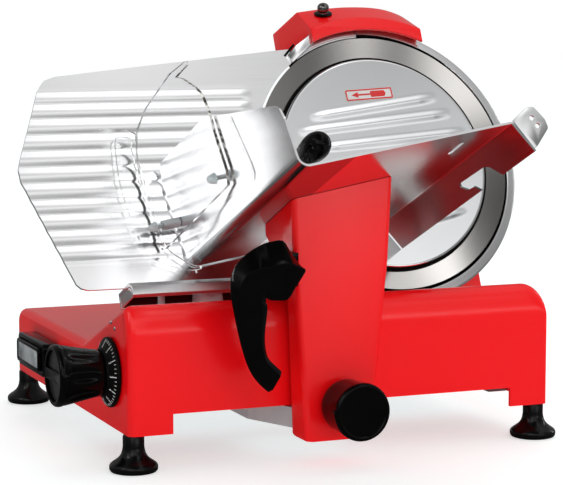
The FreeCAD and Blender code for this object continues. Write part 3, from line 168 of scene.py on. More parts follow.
def turned_metal(name, lo, hi, rough, aniso=0.75, strength=0.03, scale=900.0):
    """metal turned or ground about its local Z: grain in rings"""
    m, nt, b = new_mat(name, Metallic=1.0, Anisotropic=aniso)
    tc = nt.nodes.new("ShaderNodeTexCoord")
    sep = nt.nodes.new("ShaderNodeSeparateXYZ")
    nt.links.new(tc.outputs["Object"], sep.inputs[0])
    sq = []
    for a in ("X", "Y"):
        p = nt.nodes.new("ShaderNodeMath")
        p.operation = "MULTIPLY"
        nt.links.new(sep.outputs[a], p.inputs[0])
        nt.links.new(sep.outputs[a], p.inputs[1])
        sq.append(p)
    ad = nt.nodes.new("ShaderNodeMath")
    ad.operation = "ADD"
    nt.links.new(sq[0].outputs[0], ad.inputs[0])
    nt.links.new(sq[1].outputs[0], ad.inputs[1])
    rt = nt.nodes.new("ShaderNodeMath")
    rt.operation = "SQRT"
    nt.links.new(ad.outputs[0], rt.inputs[0])
    cb = nt.nodes.new("ShaderNodeCombineXYZ")
    nt.links.new(rt.outputs[0], cb.inputs[0])
    g = noise_tex(nt, cb.outputs[0], scale, 4, 0.7)
    v2 = coords(nt)
    broad = noise_tex(nt, v2, 22.0, 3)
    mix = nt.nodes.new("ShaderNodeMix")
    mix.data_type = "FLOAT"
    mix.inputs["Factor"].default_value = 0.3
    nt.links.new(g, mix.inputs[2])
    nt.links.new(broad, mix.inputs[3])
    nt.links.new(ramp(nt, mix.outputs[0], [(0.3, lo), (0.7, hi)]), b.inputs["Base Color"])
    nt.links.new(remap(nt, g, *rough), b.inputs["Roughness"])
    bump(nt, g, b, strength, 0.0003)
    t = nt.nodes.new("ShaderNodeTangent")
    t.direction_type = "RADIAL"
    t.axis = "Z"
    nt.links.new(t.outputs["Tangent"], b.inputs["Tangent"])
    b.inputs["Anisotropic Rotation"].default_value = 0.25
    return m


def plastic(name, lo, hi, rough, strength=0.03, scale=700.0, spec=0.5):
    m, nt, b = new_mat(name, Metallic=0.0, Specular_IOR_Level=spec)
    v = coords(nt)
    nt.links.new(ramp(nt, noise_tex(nt, v, 30.0, 4), [(0.3, lo), (0.7, hi)]), b.inputs["Base Color"])
    nt.links.new(remap(nt, noise_tex(nt, v, 90.0, 4), *rough), b.inputs["Roughness"])
    bump(nt, noise_tex(nt, v, scale, 3), b, strength, 0.0005)
    return m


M = {}
M["red"] = enamel("red_enamel_m", (0.92, 0.004, 0.006), (0.96, 0.005, 0.009), (0.14, 0.22))
# near-black red: painted shade, a shaded copy of the red enamel for red parts lying in shadow
M["maroon"] = enamel("shaded_red_m", (0.055, 0.004, 0.005), (0.085, 0.006, 0.008), (0.25, 0.35), 0.25)
M["alu"] = brushed("brushed_alu_m", (0.78, 0.78, 0.79), (0.88, 0.88, 0.89), (0.24, 0.36), (25, 1400, 1400))
M["plate"] = brushed("gauge_alu_m", (0.90, 0.90, 0.91), (0.96, 0.96, 0.97), (0.15, 0.22), (18, 900, 900), strength=0.015)
M["polished"] = brushed("polished_alu_m", (0.88, 0.88, 0.89), (0.95, 0.95, 0.96), (0.07, 0.13), (10, 500, 500), strength=0.01)
M["blade"] = turned_metal("ground_blade_m", (0.64, 0.62, 0.60), (0.74, 0.72, 0.70), (0.15, 0.22), aniso=0.60)
M["cover"] = turned_metal("turned_cover_m", (0.86, 0.87, 0.88), (0.93, 0.94, 0.95), (0.10, 0.15), aniso=0.2, strength=0.010)
M["ring"] = turned_metal("ring_alu_m", (0.74, 0.74, 0.75), (0.84, 0.84, 0.85), (0.26, 0.36), aniso=0.3, strength=0.015)
M["steel"] = brushed("turned_steel_m", (0.50, 0.50, 0.51), (0.64, 0.64, 0.65), (0.25, 0.38), (300, 300, 300), strength=0.03)
M["grey_plate"] = brushed("galvanised_m", (0.46, 0.46, 0.47), (0.60, 0.60, 0.61), (0.32, 0.48), (40, 40, 40), strength=0.03)
M["black"] = plastic("gloss_black_m", (0.0012, 0.0011, 0.0011), (0.0020, 0.0019, 0.0019), (0.06, 0.10), 0.02, 500.0, 0.11)
M["black_matte"] = plastic("matte_black_m", (0.002, 0.002, 0.002), (0.004, 0.004, 0.004), (0.40, 0.55), 0.05, 900.0, 0.08)
# near-black painted shade for gaps, grooves and hollows that lie in shadow
M["void"] = plastic("painted_gap_shade_m", (0.002, 0.002, 0.002), (0.006, 0.005, 0.005), (0.8, 0.95), 0.05, 900.0, 0.05)
M["rubber"] = plastic("rubber_m", (0.0015, 0.0015, 0.0015), (0.003, 0.003, 0.003), (0.14, 0.20), 0.04, 900.0, 0.22)
M["white"] = plastic("white_plastic_m", (0.72, 0.72, 0.70), (0.80, 0.80, 0.78), (0.25, 0.35), 0.02)
M["tick"] = plastic("tick_paint_m", (0.75, 0.75, 0.75), (0.85, 0.85, 0.85), (0.4, 0.5), 0.02)
M["sign_red"] = plastic("red_paint_m", (0.70, 0.02, 0.02), (0.78, 0.03, 0.03), (0.35, 0.45), 0.02)
M["stone"] = plastic("abrasive_m", (0.26, 0.13, 0.10), (0.42, 0.26, 0.22), (0.8, 0.95), 0.5, 1500.0)
M["stone2"] = plastic("abrasive_white_m", (0.55, 0.53, 0.50), (0.70, 0.68, 0.64), (0.8, 0.95), 0.5, 1500.0)
M["copper"] = brushed("windings_m", (0.50, 0.20, 0.08), (0.72, 0.34, 0.15), (0.28, 0.45), (200, 200, 1500), strength=0.2)
M["bronze"] = brushed("bronze_bush_m", (0.50, 0.34, 0.15), (0.62, 0.44, 0.20), (0.3, 0.42), (300, 300, 300), strength=0.03)


def clear_mat(name):
    m, nt, b = new_mat(name, Metallic=0.0, Roughness=0.02, IOR=1.10, Transmission_Weight=1.0, Specular_IOR_Level=0.5)
    v = coords(nt)
    nt.links.new(ramp(nt, noise_tex(nt, v, 12.0, 2), [(0.3, (0.985, 0.99, 0.99)), (0.7, (1.0, 1.0, 1.0))]), b.inputs["Base Color"])
    return m


def painted_refraction_edge_mat(name):
    """edge of a clear sheet: broken light and dark dashes along its length, painted refraction of the ribs behind it"""
    m, nt, b = new_mat(name, Metallic=0.0, Roughness=0.15, Specular_IOR_Level=0.4)
    v = coords(nt, (1, 1, 1))
    g = noise_tex(nt, v, 150.0, 2, 0.6)
    nt.links.new(ramp(nt, g, [(0.36, (0.010, 0.008, 0.006)), (0.47, (0.07, 0.06, 0.05)), (0.53, (0.40, 0.39, 0.36)), (0.62, (0.85, 0.85, 0.82))]), b.inputs["Base Color"])
    bump(nt, g, b, 0.2, 0.0004)
    return m


# darker metal for the tray's flange and the floor's underside by the wall: painted shade for the shaded red they
# reflect
M["flange"] = brushed("flange_painted_shade_m", (0.40, 0.40, 0.405), (0.50, 0.50, 0.505), (0.16, 0.24), (900, 900, 14), strength=0.006)
M["dark_chrome"] = brushed("dark_chrome_m", (0.16, 0.155, 0.15), (0.26, 0.25, 0.245), (0.06, 0.12), (120, 120, 120), strength=0.02)
M["bolt"] = plastic("bright_bolt_m", (0.50, 0.56, 0.58), (0.72, 0.78, 0.80), (0.08, 0.14), 0.02, 300.0, 0.9)
# bright non-metal grey with a cyan tint painted in to cancel the red light bounced on to the column and peg
M["column"] = plastic("bright_column_m", (0.55, 0.84, 0.88), (0.62, 0.90, 0.94), (0.10, 0.18), 0.02, 300.0, 0.9)
M["inlay"] = plastic("grey_inlay_m", (0.012, 0.012, 0.012), (0.018, 0.018, 0.018), (0.3, 0.4), 0.03)
M["clear"] = clear_mat("clear_guard_m")
M["window"] = plastic("clouded_window_m", (0.22, 0.23, 0.24), (0.62, 0.64, 0.66), (0.06, 0.12), 0.02, 200.0, 0.9)
M["clear_edge"] = painted_refraction_edge_mat("clear_edge_painted_refraction_m")
M["fold_edge"], nt_, b_ = new_mat("clear_fold_m", Metallic=0.0, Roughness=0.05, IOR=1.08, Transmission_Weight=1.0, Specular_IOR_Level=0.5)
nt_.links.new(ramp(nt_, noise_tex(nt_, coords(nt_), 40.0, 2), [(0.3, (0.55, 0.55, 0.54)), (0.7, (0.80, 0.80, 0.79))]), b_.inputs["Base Color"])


# ------------------------------------------------------------------ mesh helpers
def finish_mesh(ob, angle=32.0):
    me = ob.data
    for p in me.polygons:
        p.use_smooth = True
    me.set_sharp_from_angle(angle=math.radians(angle))


def applied(ob):
    """apply the modifiers by taking the evaluated mesh"""
    bpy.context.view_layer.update()
    dg = bpy.context.evaluated_depsgraph_get()
    me = bpy.data.meshes.new_from_object(ob.evaluated_get(dg))
    ob.modifiers.clear()
    ob.data = me
    return ob


def put(name, bm, fr, material, body, slot=None, replaces=(), angle=32.0, bevel=0.0, seg=3, bevel_angle=35.0, weld=True):
    if weld:
        bmesh.ops.remove_doubles(bm, verts=bm.verts, dist=1e-5)
    bmesh.ops.recalc_face_normals(bm, faces=bm.faces)
    me = bpy.data.meshes.new(name)
    bm.to_mesh(me)
    bm.free()
    ob = bpy.data.objects.new(name, me)
    bpy.context.scene.collection.objects.link(ob)
    ob.matrix_world = fr
    mats = material if isinstance(material, (list, tuple)) else [material]
    for mm_ in mats:
        me.materials.append(mm_)
    if bevel:
        b = ob.modifiers.new("edge", "BEVEL")
        b.width = bevel * MM
        b.segments = seg
        b.limit_method = "ANGLE"
        b.angle_limit = math.radians(bevel_angle)
        b.use_clamp_overlap = True
        b.harden_normals = False
        applied(ob)
    finish_mesh(ob, angle)
    if body:
        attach(ob, body)
    if replaces:
        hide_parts(*replaces)
    return ob


def v3(x, y, z):
    return Vector((x * MM, y * MM, z * MM))


def round_poly(pts, radii, n=6):
    """polygon with its corners rounded; radii is one number or one per corner"""
    out = []
    k = len(pts)
    if not isinstance(radii, (list, tuple)):
        radii = [radii] * k
    for i in range(k):
        p = Vector(pts[i])
        a = Vector(pts[i - 1]) - p
        b = Vector(pts[(i + 1) % k]) - p
        r = radii[i]
        if r <= 0 or a.length < 1e-6 or b.length < 1e-6:
            out.append((p.x, p.y))
            continue
        ang = a.angle(b)
        if ang > math.pi - 0.03:
            out.append((p.x, p.y))
            continue
        t = r / math.tan(ang / 2)
        t = min(t, a.length * 0.48, b.length * 0.48)
        r = t * math.tan(ang / 2)
        a.normalize()
        b.normalize()
        c = p + (a + b).normalized() * (r / math.sin(ang / 2))
        s = p + a * t - c
        e = p + b * t - c
        a0 = math.atan2(s.y, s.x)
        a1 = math.atan2(e.y, e.x)
        d = a1 - a0
        while d > math.pi:
            d -= 2 * math.pi
        while d < -math.pi:
            d += 2 * math.pi
        for j in range(n + 1):
            q = a0 + d * j / n
            out.append((c.x + r * math.cos(q), c.y + r * math.sin(q)))
    return out


def prism_bm(pts, z0, z1, bm=None, taper=None):
    bm = bm or bmesh.new()
    lo = [bm.verts.new(v3(x, y, z0)) for x, y in pts]
    hi = [bm.verts.new(v3(x, y, z1)) for x, y in (taper or pts)]
    n = len(pts)
    bm.faces.new(list(reversed(lo)))
    bm.faces.new(hi)
    for i in range(n):
        bm.faces.new((lo[i], lo[(i + 1) % n], hi[(i + 1) % n], hi[i]))
    return bm


def prism(name, pts, z0, z1, fr, material, body, bevel=0.6, **k):
    return put(name, prism_bm(pts, z0, z1), fr, material, body, bevel=bevel, **k)


def plate(name, outer, holes, z0, z1, fr, material, body, bevel=0.4, **k):
    """flat plate with holes, edges rounded, made from a filled curve"""
    cu = bpy.data.curves.new(name + "_c", "CURVE")
    cu.dimensions = "2D"
    cu.fill_mode = "BOTH"
    cu.extrude = ((z1 - z0) / 2 - bevel) * MM
    cu.bevel_depth = bevel * MM
    cu.bevel_resolution = 1
    cu.offset = -bevel * MM
    for lp in [outer] + list(holes):
        s = cu.splines.new("POLY")
        s.points.add(len(lp) - 1)
        for i, (x, y) in enumerate(lp):
            s.points[i].co = (x * MM, y * MM, 0, 1)
        s.use_cyclic_u = True
    ob = bpy.data.objects.new(name + "_c", cu)
    bpy.context.scene.collection.objects.link(ob)
    bpy.context.view_layer.update()
    me = bpy.data.meshes.new_from_object(ob.evaluated_get(bpy.context.evaluated_depsgraph_get()))
    bpy.data.objects.remove(ob)
    bm = bmesh.new()
    bm.from_mesh(me)
    bpy.data.meshes.remove(me)
    bmesh.ops.translate(bm, verts=bm.verts, vec=(0, 0, (z0 + z1) / 2 * MM))
    return put(name, bm, fr, material, body, **k)


def circle(x, y, r, n=24, flip=False):
    pts = [(x + r * math.cos(2 * math.pi * i / n), y + r * math.sin(2 * math.pi * i / n)) for i in range(n)]
    return pts


def lathe_bm(profile, seg=96, a0=0.0, sweep=360.0, closed=True, rfun=None, bm=None):
    """profile of (r, z); closed joins its last point to its first. rfun(r, z, angle) may change the radius."""
    bm = bm or bmesh.new()
    full = abs(sweep - 360.0) < 1e-6
    n = seg if full else seg + 1
    rings = []
    for j in range(n):
        a = math.radians(a0 + sweep * j / seg)
        row = []
        for r, z in profile:
            rr = rfun(r, z, a) if rfun else r
            row.append(bm.verts.new(v3(rr * math.cos(a), rr * math.sin(a), z)))
        rings.append(row)
    k = len(profile)
    for j in range(seg):
        r0, r1 = rings[j], rings[(j + 1) % n]
        for i in range(k if closed else k - 1):
            a, b = i, (i + 1) % k
            try:
                bm.faces.new((r0[a], r1[a], r1[b], r0[b]))
            except ValueError:
                pass
    if not full and closed:
        bm.faces.new(list(reversed(rings[0])))
        bm.faces.new(rings[-1])
    return bm


def lathe(name, profile, fr, material, body, seg=96, a0=0.0, sweep=360.0, closed=True, rfun=None, **k):
    bm = lathe_bm(profile, seg, a0, sweep, closed, rfun)
    bmesh.ops.remove_doubles(bm, verts=bm.verts, dist=2e-6)
    bmesh.ops.dissolve_degenerate(bm, edges=bm.edges, dist=1e-7)
    return put(name, bm, fr, material, body, **k)


def tube_bm(pts, r, seg=16, bm=None):
    """round bar through points given in millimetres"""
    bm = bm or bmesh.new()
    pts = [Vector(p) for p in pts]
    rings = []
    for i, p in enumerate(pts):
        d = (pts[min(i + 1, len(pts) - 1)] - pts[max(i - 1, 0)]).normalized()
        a = d.cross(Vector((0.3, 0.5, 0.8))).normalized()
        b = d.cross(a)
        rings.append([bm.verts.new((p + a * r * math.cos(2 * math.pi * k / seg) + b * r * math.sin(2 * math.pi * k / seg)) * MM) for k in range(seg)])
    for i in range(len(rings) - 1):
        for k in range(seg):
            bm.faces.new((rings[i][k], rings[i][(k + 1) % seg], rings[i + 1][(k + 1) % seg], rings[i + 1][k]))
    bm.faces.new(list(reversed(rings[0])))
    bm.faces.new(rings[-1])
    return bm


def loft_bm(sections, bm=None, cap=True, loop=True):
    bm = bm or bmesh.new()
    rows = [[bm.verts.new(Vector(p) * MM) for p in s] for s in sections]
    n = len(rows[0])
    for i in range(len(rows) - 1):
        for k in range(n if loop else n - 1):
            bm.faces.new((rows[i][k], rows[i][(k + 1) % n], rows[i + 1][(k + 1) % n], rows[i + 1][k]))
    if cap:
        bm.faces.new(list(reversed(rows[0])))
        bm.faces.new(rows[-1])
    return bm


def difference(ob, cutter_bm, fr):
    me = bpy.data.meshes.new("cutter")
    bmesh.ops.recalc_face_normals(cutter_bm, faces=cutter_bm.faces)
    cutter_bm.to_mesh(me)
    cutter_bm.free()
    c = bpy.data.objects.new("cutter", me)
    bpy.context.scene.collection.objects.link(c)
    c.matrix_world = fr
    m = ob.modifiers.new("cut", "BOOLEAN")
    m.operation = "DIFFERENCE"
    m.solver = "EXACT"
    m.object = c
    applied(ob)
    bpy.data.objects.remove(c)
    bpy.data.meshes.remove(me)
    return ob


def box_bm(x0, x1, y0, y1, z0, z1, bm=None):
    return prism_bm([(x0, y0), (x1, y0), (x1, y1), (x0, y1)], z0, z1, bm)


def lerp(a, b, t):
    return a + (b - a) * t


def table(xs, ys, x):
    if x <= xs[0]:
        return ys[0]
    for i in range(len(xs) - 1):
        if x <= xs[i + 1]:
            return lerp(ys[i], ys[i + 1], (x - xs[i]) / max(1e-9, xs[i + 1] - xs[i]))
    return ys[-1]


def catmull(pts, n=6, closed=False):
    out = []
    k = len(pts)
    for i in range(k if closed else k - 1):
        p = [Vector(pts[(i + d) % k]) if closed else Vector(pts[max(0, min(k - 1, i + d))]) for d in (-1, 0, 1, 2)]
        for j in range(n):
            t = j / n
            out.append(tuple(0.5 * ((2 * p[1]) + (p[2] - p[0]) * t + (2 * p[0] - 5 * p[1] + 4 * p[2] - p[3]) * t * t + (3 * p[1] - p[0] - 3 * p[2] + p[3]) * t ** 3)))
    if not closed:
        out.append(tuple(pts[-1]))
    return out


# ------------------------------------------------------------------ base housing
def base_profile():
    pts = [(-175, 31), (-175, 138), (-160, 138), (-46, 91.5), (175, 91.5), (175, 31)]
    rad = [0, 0, 10, 12, 14, 0]
    raw = []
    for i, (p, r) in enumerate(zip(pts, rad)):
        if r == 0:
            raw.append(p)
        else:
            tri = round_poly([pts[i - 1], p, pts[i + 1]], [0, r, 0], 7)
            raw += tri[1:-1]
    # finer along the front for the notch
    out = [raw[0]]
    for z in (47.8, 60, 80, 98, 108):
        out.append((-175, z))
    # the front rolls over in a long ellipse
    for k in range(1, 10):
        a = math.pi / 2 * k / 10
        out.append((-175 + 14.0 * (1 - math.cos(a)), 110.0 + 28.0 * math.sin(a)))
    for p in raw[2:-1]:
        if p[0] <= -161.0:
            continue
        if out[-1][0] < 0 < p[0]:
            out += [(y_, 91.5) for y_ in (-30.0, -10.0, 30.0, 70.0, 110.0, 145.0)]
        out.append(p)
    for z in (60, 45):
        out.append((175, z))
    out.append(raw[-1])
    return out


def base_shell():
    prof = base_profile()
    n = len(prof)
    norm = []
    for i in range(n):
        a = Vector(prof[max(0, i - 1)])
        b = Vector(prof[min(n - 1, i + 1)])
        d = (b - a).normalized()
        norm.append(Vector((-d.y, d.x)))
    WALL = 3.4
    RL, RR = 7.0, 21.0

    def inset(x, r_left, r_right, lo, hi):
        if x < lo + r_left:
            t = (lo + r_left - x) / r_left
            return r_left - math.sqrt(max(0.0, r_left ** 2 - (r_left * t) ** 2))
        if x > hi - r_right:
            t = (x - hi + r_right) / r_right
            return r_right - math.sqrt(max(0.0, r_right ** 2 - (r_right * t) ** 2))
        return 0.0

    def ring(lo, hi, rl, rr, wall):
        xs = [lo + rl * (1 - math.cos(math.pi / 2 * k / 6)) for k in range(7)]
        xs += [-170, -157, -156.01, -155.99, -120, -60, 0, 60, 120, 157.99, 158.01, 160.0]
        xs += [hi - rr * (1 - math.sin(math.pi / 2 * k / 12)) for k in range(13)]
        rows = []
        for x in xs:
            row = []
            for i, (y, z) in enumerate(prof):
                # the right end is only rounded at the top and its upper edges
                d = inset(x, rl, 2.5, lo, hi)
                q = Vector((y, z)) - norm[i] * (d + wall)
                if x > hi - rr:
                    # rounded in the front view
                    t_ = (x - hi + rr) / rr
                    cap = 138.0 - wall - rr * (1 - math.sqrt(max(0.0, 1 - t_ * t_)))
                    lim = cap - 14.0
                    if q.y > lim:
                        q.y = lim + (q.y - lim) * 14.0 / (138.0 - wall - lim) if 138.0 - wall - lim > 14.0 else q.y
                zz = q.y
                if i in (0, n - 1):
                    q.x = y + ((d + wall) if y < 0 else -(d + wall))
                    zz = 31.0
                if -156.0 <= x <= 158.0 and i == 0:
                    zz = 47.8
                if i in (1,) and zz < 47.8:
                    zz = 47.9
                row.append((x, q.x, zz))
            rows.append(row)
        return rows

    out = ring(-194.3, 194.3, RL, RR, 0.0)
    inn = ring(-194.3 + WALL, 194.3 - WALL, RL - 2.4, RR - 2.0, WALL)
    bm = bmesh.new()
    vo = [[bm.verts.new(Vector(p) * MM) for p in r] for r in out]
    vi = [[bm.verts.new(Vector(p) * MM) for p in r] for r in inn]
    for grid, flip in ((vo, False), (vi, True)):
        for i in range(len(grid) - 1):
            for k in range(n - 1):
                q = [grid[i][k], grid[i + 1][k], grid[i + 1][k + 1], grid[i][k + 1]]
                bm.faces.new(q[::-1] if flip else q)
        bm.faces.new(grid[0] if not flip else grid[0][::-1])
        bm.faces.new(grid[-1][::-1] if not flip else grid[-1])
    # rim round the open bottom
    R_ = len(vo)
    loop_o = [vo[i][0] for i in range(R_)] + [vo[i][n - 1] for i in range(R_ - 1, -1, -1)]
    loop_i = [vi[i][0] for i in range(R_)] + [vi[i][n - 1] for i in range(R_ - 1, -1, -1)]
    for i in range(len(loop_o)):
        j = (i + 1) % len(loop_o)
        if i in (R_ - 1, 2 * R_ - 1):
            continue
        bm.faces.new((loop_o[i], loop_i[i], loop_i[j], loop_o[j]))
    ends = [f for f in bm.faces if len(f.verts) == n]
    for g_ in (0, -1):
        bm.faces.new((vo[g_][0], vo[g_][n - 1], vi[g_][n - 1], vi[g_][0]))
    bmesh.ops.remove_doubles(bm, verts=bm.verts, dist=1e-6)
    bmesh.ops.recalc_face_normals(bm, faces=bm.faces)
    # the concave ends are cut into triangles before anything is taken out of them
    bmesh.ops.triangulate(bm, faces=[f_ for f_ in bm.faces if len(f_.verts) > 6], ngon_method="EAR_CLIP")
    me = bpy.data.meshes.new("base_shell")
    bm.to_mesh(me)
    bm.free()
    ob = bpy.data.objects.new("base_shell", me)
    bpy.context.scene.collection.objects.link(ob)
    ob.matrix_world = WORLD
    me.materials.append(M["red"])
    difference(ob, box_bm(-95.0, -65.0, -65.0, -21.8, 80, 110), WORLD)
    difference(ob, box_bm(-200, -186, 44.5, 97.5, 52.5, 71.5), WORLD)
    finish_mesh(ob, 40)
    for f_ in ob.data.polygons:
        if abs(f_.normal.z) > 0.995:
            f_.use_smooth = False
    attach(ob, "frame")
    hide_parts("base_housing")
    return ob


base_shell()
# two small vent screws on the left end, each a pan head
for k, (y, z) in enumerate(((-138.0, 116.0), (-128.0, 120.0))):
    lathe("end_screw_%d" % k, [(0, 0.9), (1.1, 0.75), (1.7, 0.0), (0, 0.0)], axis_frame(Vector((-194.3, y, z)), Vector((-1, 0, 0))), M["steel"], "frame", seg=20, slot="steel")

# feet
FOOT = [(0.0, 0.0), (17.5, 0.0), (19.0, 0.5), (20.1, 1.9), (20.3, 3.2), (20.3, 5.2), (19.6, 6.6), (18.0, 8.0), (15.6, 9.6), (13.2, 11.4), (11.4, 13.4), (10.2, 15.6), (9.5, 18.0), (9.0, 21.0),
        (9.0, 29.6), (8.4, 30.9), (4.2, 31.0), (4.2, 26.0), (0.0, 26.0)]
for nm, sx, sy in (("front_left", -1, -1), ("front_right", 1, -1), ("rear_left", -1, 1), ("rear_right", 1, 1)):
    lathe("rubber_foot_" + nm, FOOT, axis_frame(Vector((187.0 * sx, 163.5 * sy, 0)), Vector((0, 0, 1)), UX), M["rubber"], "frame", seg=72, slot="rubber", replaces=["foot_" + nm])


# ------------------------------------------------------------------ blade, cover and ring
lathe("slicing_blade", [(14.0, -3.0), (90.0, -3.0), (103.0, -4.4), (105.6, -4.4), (106.4, -4.25), (115.0, -2.30), (124.4, -0.16), (125.0, 0.0), (125.0, -0.35), (113.0, -6.0), (60.0, -6.0), (30.0, -6.0), (30.0, -10.0), (14.0, -10.0)],
      BP, M["blade"], "blade_unit", seg=240, slot="blade_steel", replaces=["blade"], angle=25)
RING = [(29.0, -22.0), (136.0, -22.0), (136.8, -21.4), (137.0, -20.6), (137.0, -5.0), (136.7, -3.9), (136.0, -3.2), (134.6, -2.75), (129.2, -1.05), (128.2, -1.1), (127.7, -1.6), (127.5, -3.0), (127.5, -18.0), (29.0, -18.0)]
ring_ob = lathe("ring_guard_part", RING, BP, [M["ring"], M["void"]], "frame", seg=200, a0=-125.0, sweep=248.8, slot="aluminium", replaces=["ring_guard"], angle=30)
# its inner wall and floor lie in shade behind the blade: they get the near-black painted shade
for p_ in ring_ob.data.polygons:
    rr_ = math.hypot(p_.center.x, p_.center.y) / MM
    if 60.0 < rr_ < 127.9 and p_.center.z > -18.3 * MM and p_.center.z < -1.9 * MM:
        p_.material_index = 1
# step where the ring's lead piece meets the ring proper
q_ = math.radians(92.4)
step_fr = BP @ Matrix.Rotation(q_, 4, "Z")
difference(ring_ob, box_bm(126.0, 138.5, -0.7, 0.7, -5.0, 2.0), step_fr)
finish_mesh(ring_ob, 30)
lathe("ring_lead_piece", [(125.9, -3.2), (125.9, -1.5), (126.3, -1.05), (127.2, -0.95), (127.9, -1.05), (128.4, -1.5), (128.4, -3.2)], BP, M["ring"], "frame", seg=40, a0=93.0, sweep=30.6, slot="aluminium", angle=40)
# dark ring of painted shade in the groove between the disc and the blade's ground face
lathe("disc_groove_shade", [(103.2, -2.95), (103.7, -2.5), (104.2, -1.9), (105.6, -2.1), (106.1, -2.6), (106.2, -3.3), (103.2, -3.3)], BP, M["void"], "frame", seg=240, slot="black_matte", angle=30)


def cover_disc():
    """dished disc with three low pressed ridges above the middle and a short one below"""
    bm = bmesh.new()
    N = 360
    radii = [0.0] + [i * 1.6 for i in range(1, 60)] + [96.0, 98.0, 100.0, 101.5, 102.6, 103.1, 103.4, 103.5]
    segs = [((-64.0, 46.0), (62.0, 63.0), 5.4), ((-78.0, 31.5), (74.0, 46.5), 5.4), ((-58.0, 15.5), (86.0, 27.0), 5.4), ((30.0, -61.5), (72.0, -52.5), 3.8)]

    def height(x, y):
        h = 0.0
        for a, b, w in segs:
            a2, b2, p = Vector(a), Vector(b), Vector((x, y))
            d = b2 - a2
            t = max(0.0, min(1.0, (p - a2).dot(d) / d.length_squared))
            dist = (p - (a2 + d * t)).length
            e = min(t, 1 - t) * d.length
            fade = min(1.0, e / 14.0) if e < 14 else 1.0
            if dist < w:
                h = max(h, 0.66 * (0.5 + 0.5 * math.cos(math.pi * dist / w)) * (0.25 + 0.75 * fade))
        return h

    rows = []
    for r in radii:
        row = []
        for j in range(N):
            a = 2 * math.pi * j / N
            x, y = r * math.cos(a), r * math.sin(a)
            edge = max(0.0, (r - 102.3) / 1.2)
            z = 0.1 + height(x, y) * (1.0 if r < 96 else 0.0) - 0.9 * edge * edge
            row.append((x, y, z))
            if r == 0.0:
                break
        rows.append(row)
    vs = [[bm.verts.new(v3(*p)) for p in row] for row in rows]
    for i in range(len(vs) - 1):
        for j in range(N):
            if len(vs[i]) == 1:
                bm.faces.new((vs[i][0], vs[i + 1][j], vs[i + 1][(j + 1) % N]))
            else:
                bm.faces.new((vs[i][j], vs[i + 1][j], vs[i + 1][(j + 1) % N], vs[i][(j + 1) % N]))
    back = [(103.5, -2.3), (98.0, -2.4), (98.0, -1.2)]
    prev = vs[-1]
    for r, z in back:
        row = [bm.verts.new(v3(r * math.cos(2 * math.pi * j / N), r * math.sin(2 * math.pi * j / N), z)) for j in range(N)]
        for j in range(N):
            bm.faces.new((prev[j], row[j], row[(j + 1) % N], prev[(j + 1) % N]))
        prev = row
    bm.faces.new(list(reversed(prev)))
    return put("blade_cover_disc", bm, BP, M["cover"], "frame", slot="aluminium", replaces=["blade_cover"], angle=40)


cover_disc()
AP = BP @ Matrix.Translation(Vector((-3.9 * MM, 67.8 * MM, 0.0))) @ Matrix.Rotation(math.radians(3.1), 4, "Z")
prism("arrow_plate", round_poly([(-24.4, -5.6), (24.4, -5.6), (24.4, 5.6), (-24.4, 5.6)], 1.4, 4), 0.0, 0.50, AP, M["white"], "frame", bevel=0.12, slot="white_plastic")
plate("arrow_border", round_poly([(-24.2, -5.4), (24.2, -5.4), (24.2, 5.4), (-24.2, 5.4)], 1.3, 4), [round_poly([(-22.9, -4.1), (22.9, -4.1), (22.9, 4.1), (-22.9, 4.1)], 0.6, 3)], 0.40, 0.66, AP, M["sign_red"], "frame", bevel=0.05, slot="red_enamel")
prism("arrow_mark", [(-18.5, 0.0), (-11.5, -2.9), (-11.5, -0.8), (1.5, -0.8), (1.5, -3.0), (15.5, -3.0), (17.5, 0.0), (15.5, 3.0), (1.5, 3.0), (1.5, 0.8), (-11.5, 0.8), (-11.5, 2.9)], 0.42, 0.66, AP, M["sign_red"], "frame", bevel=0.04, slot="red_enamel")


# ------------------------------------------------------------------ gauge plate with pressed ribs
GROOVES = [64.4, 50.4, 35.4, 20.4, 5.4, -9.6, -25.2, -39.0, -54.0, -68.5, -83.0]


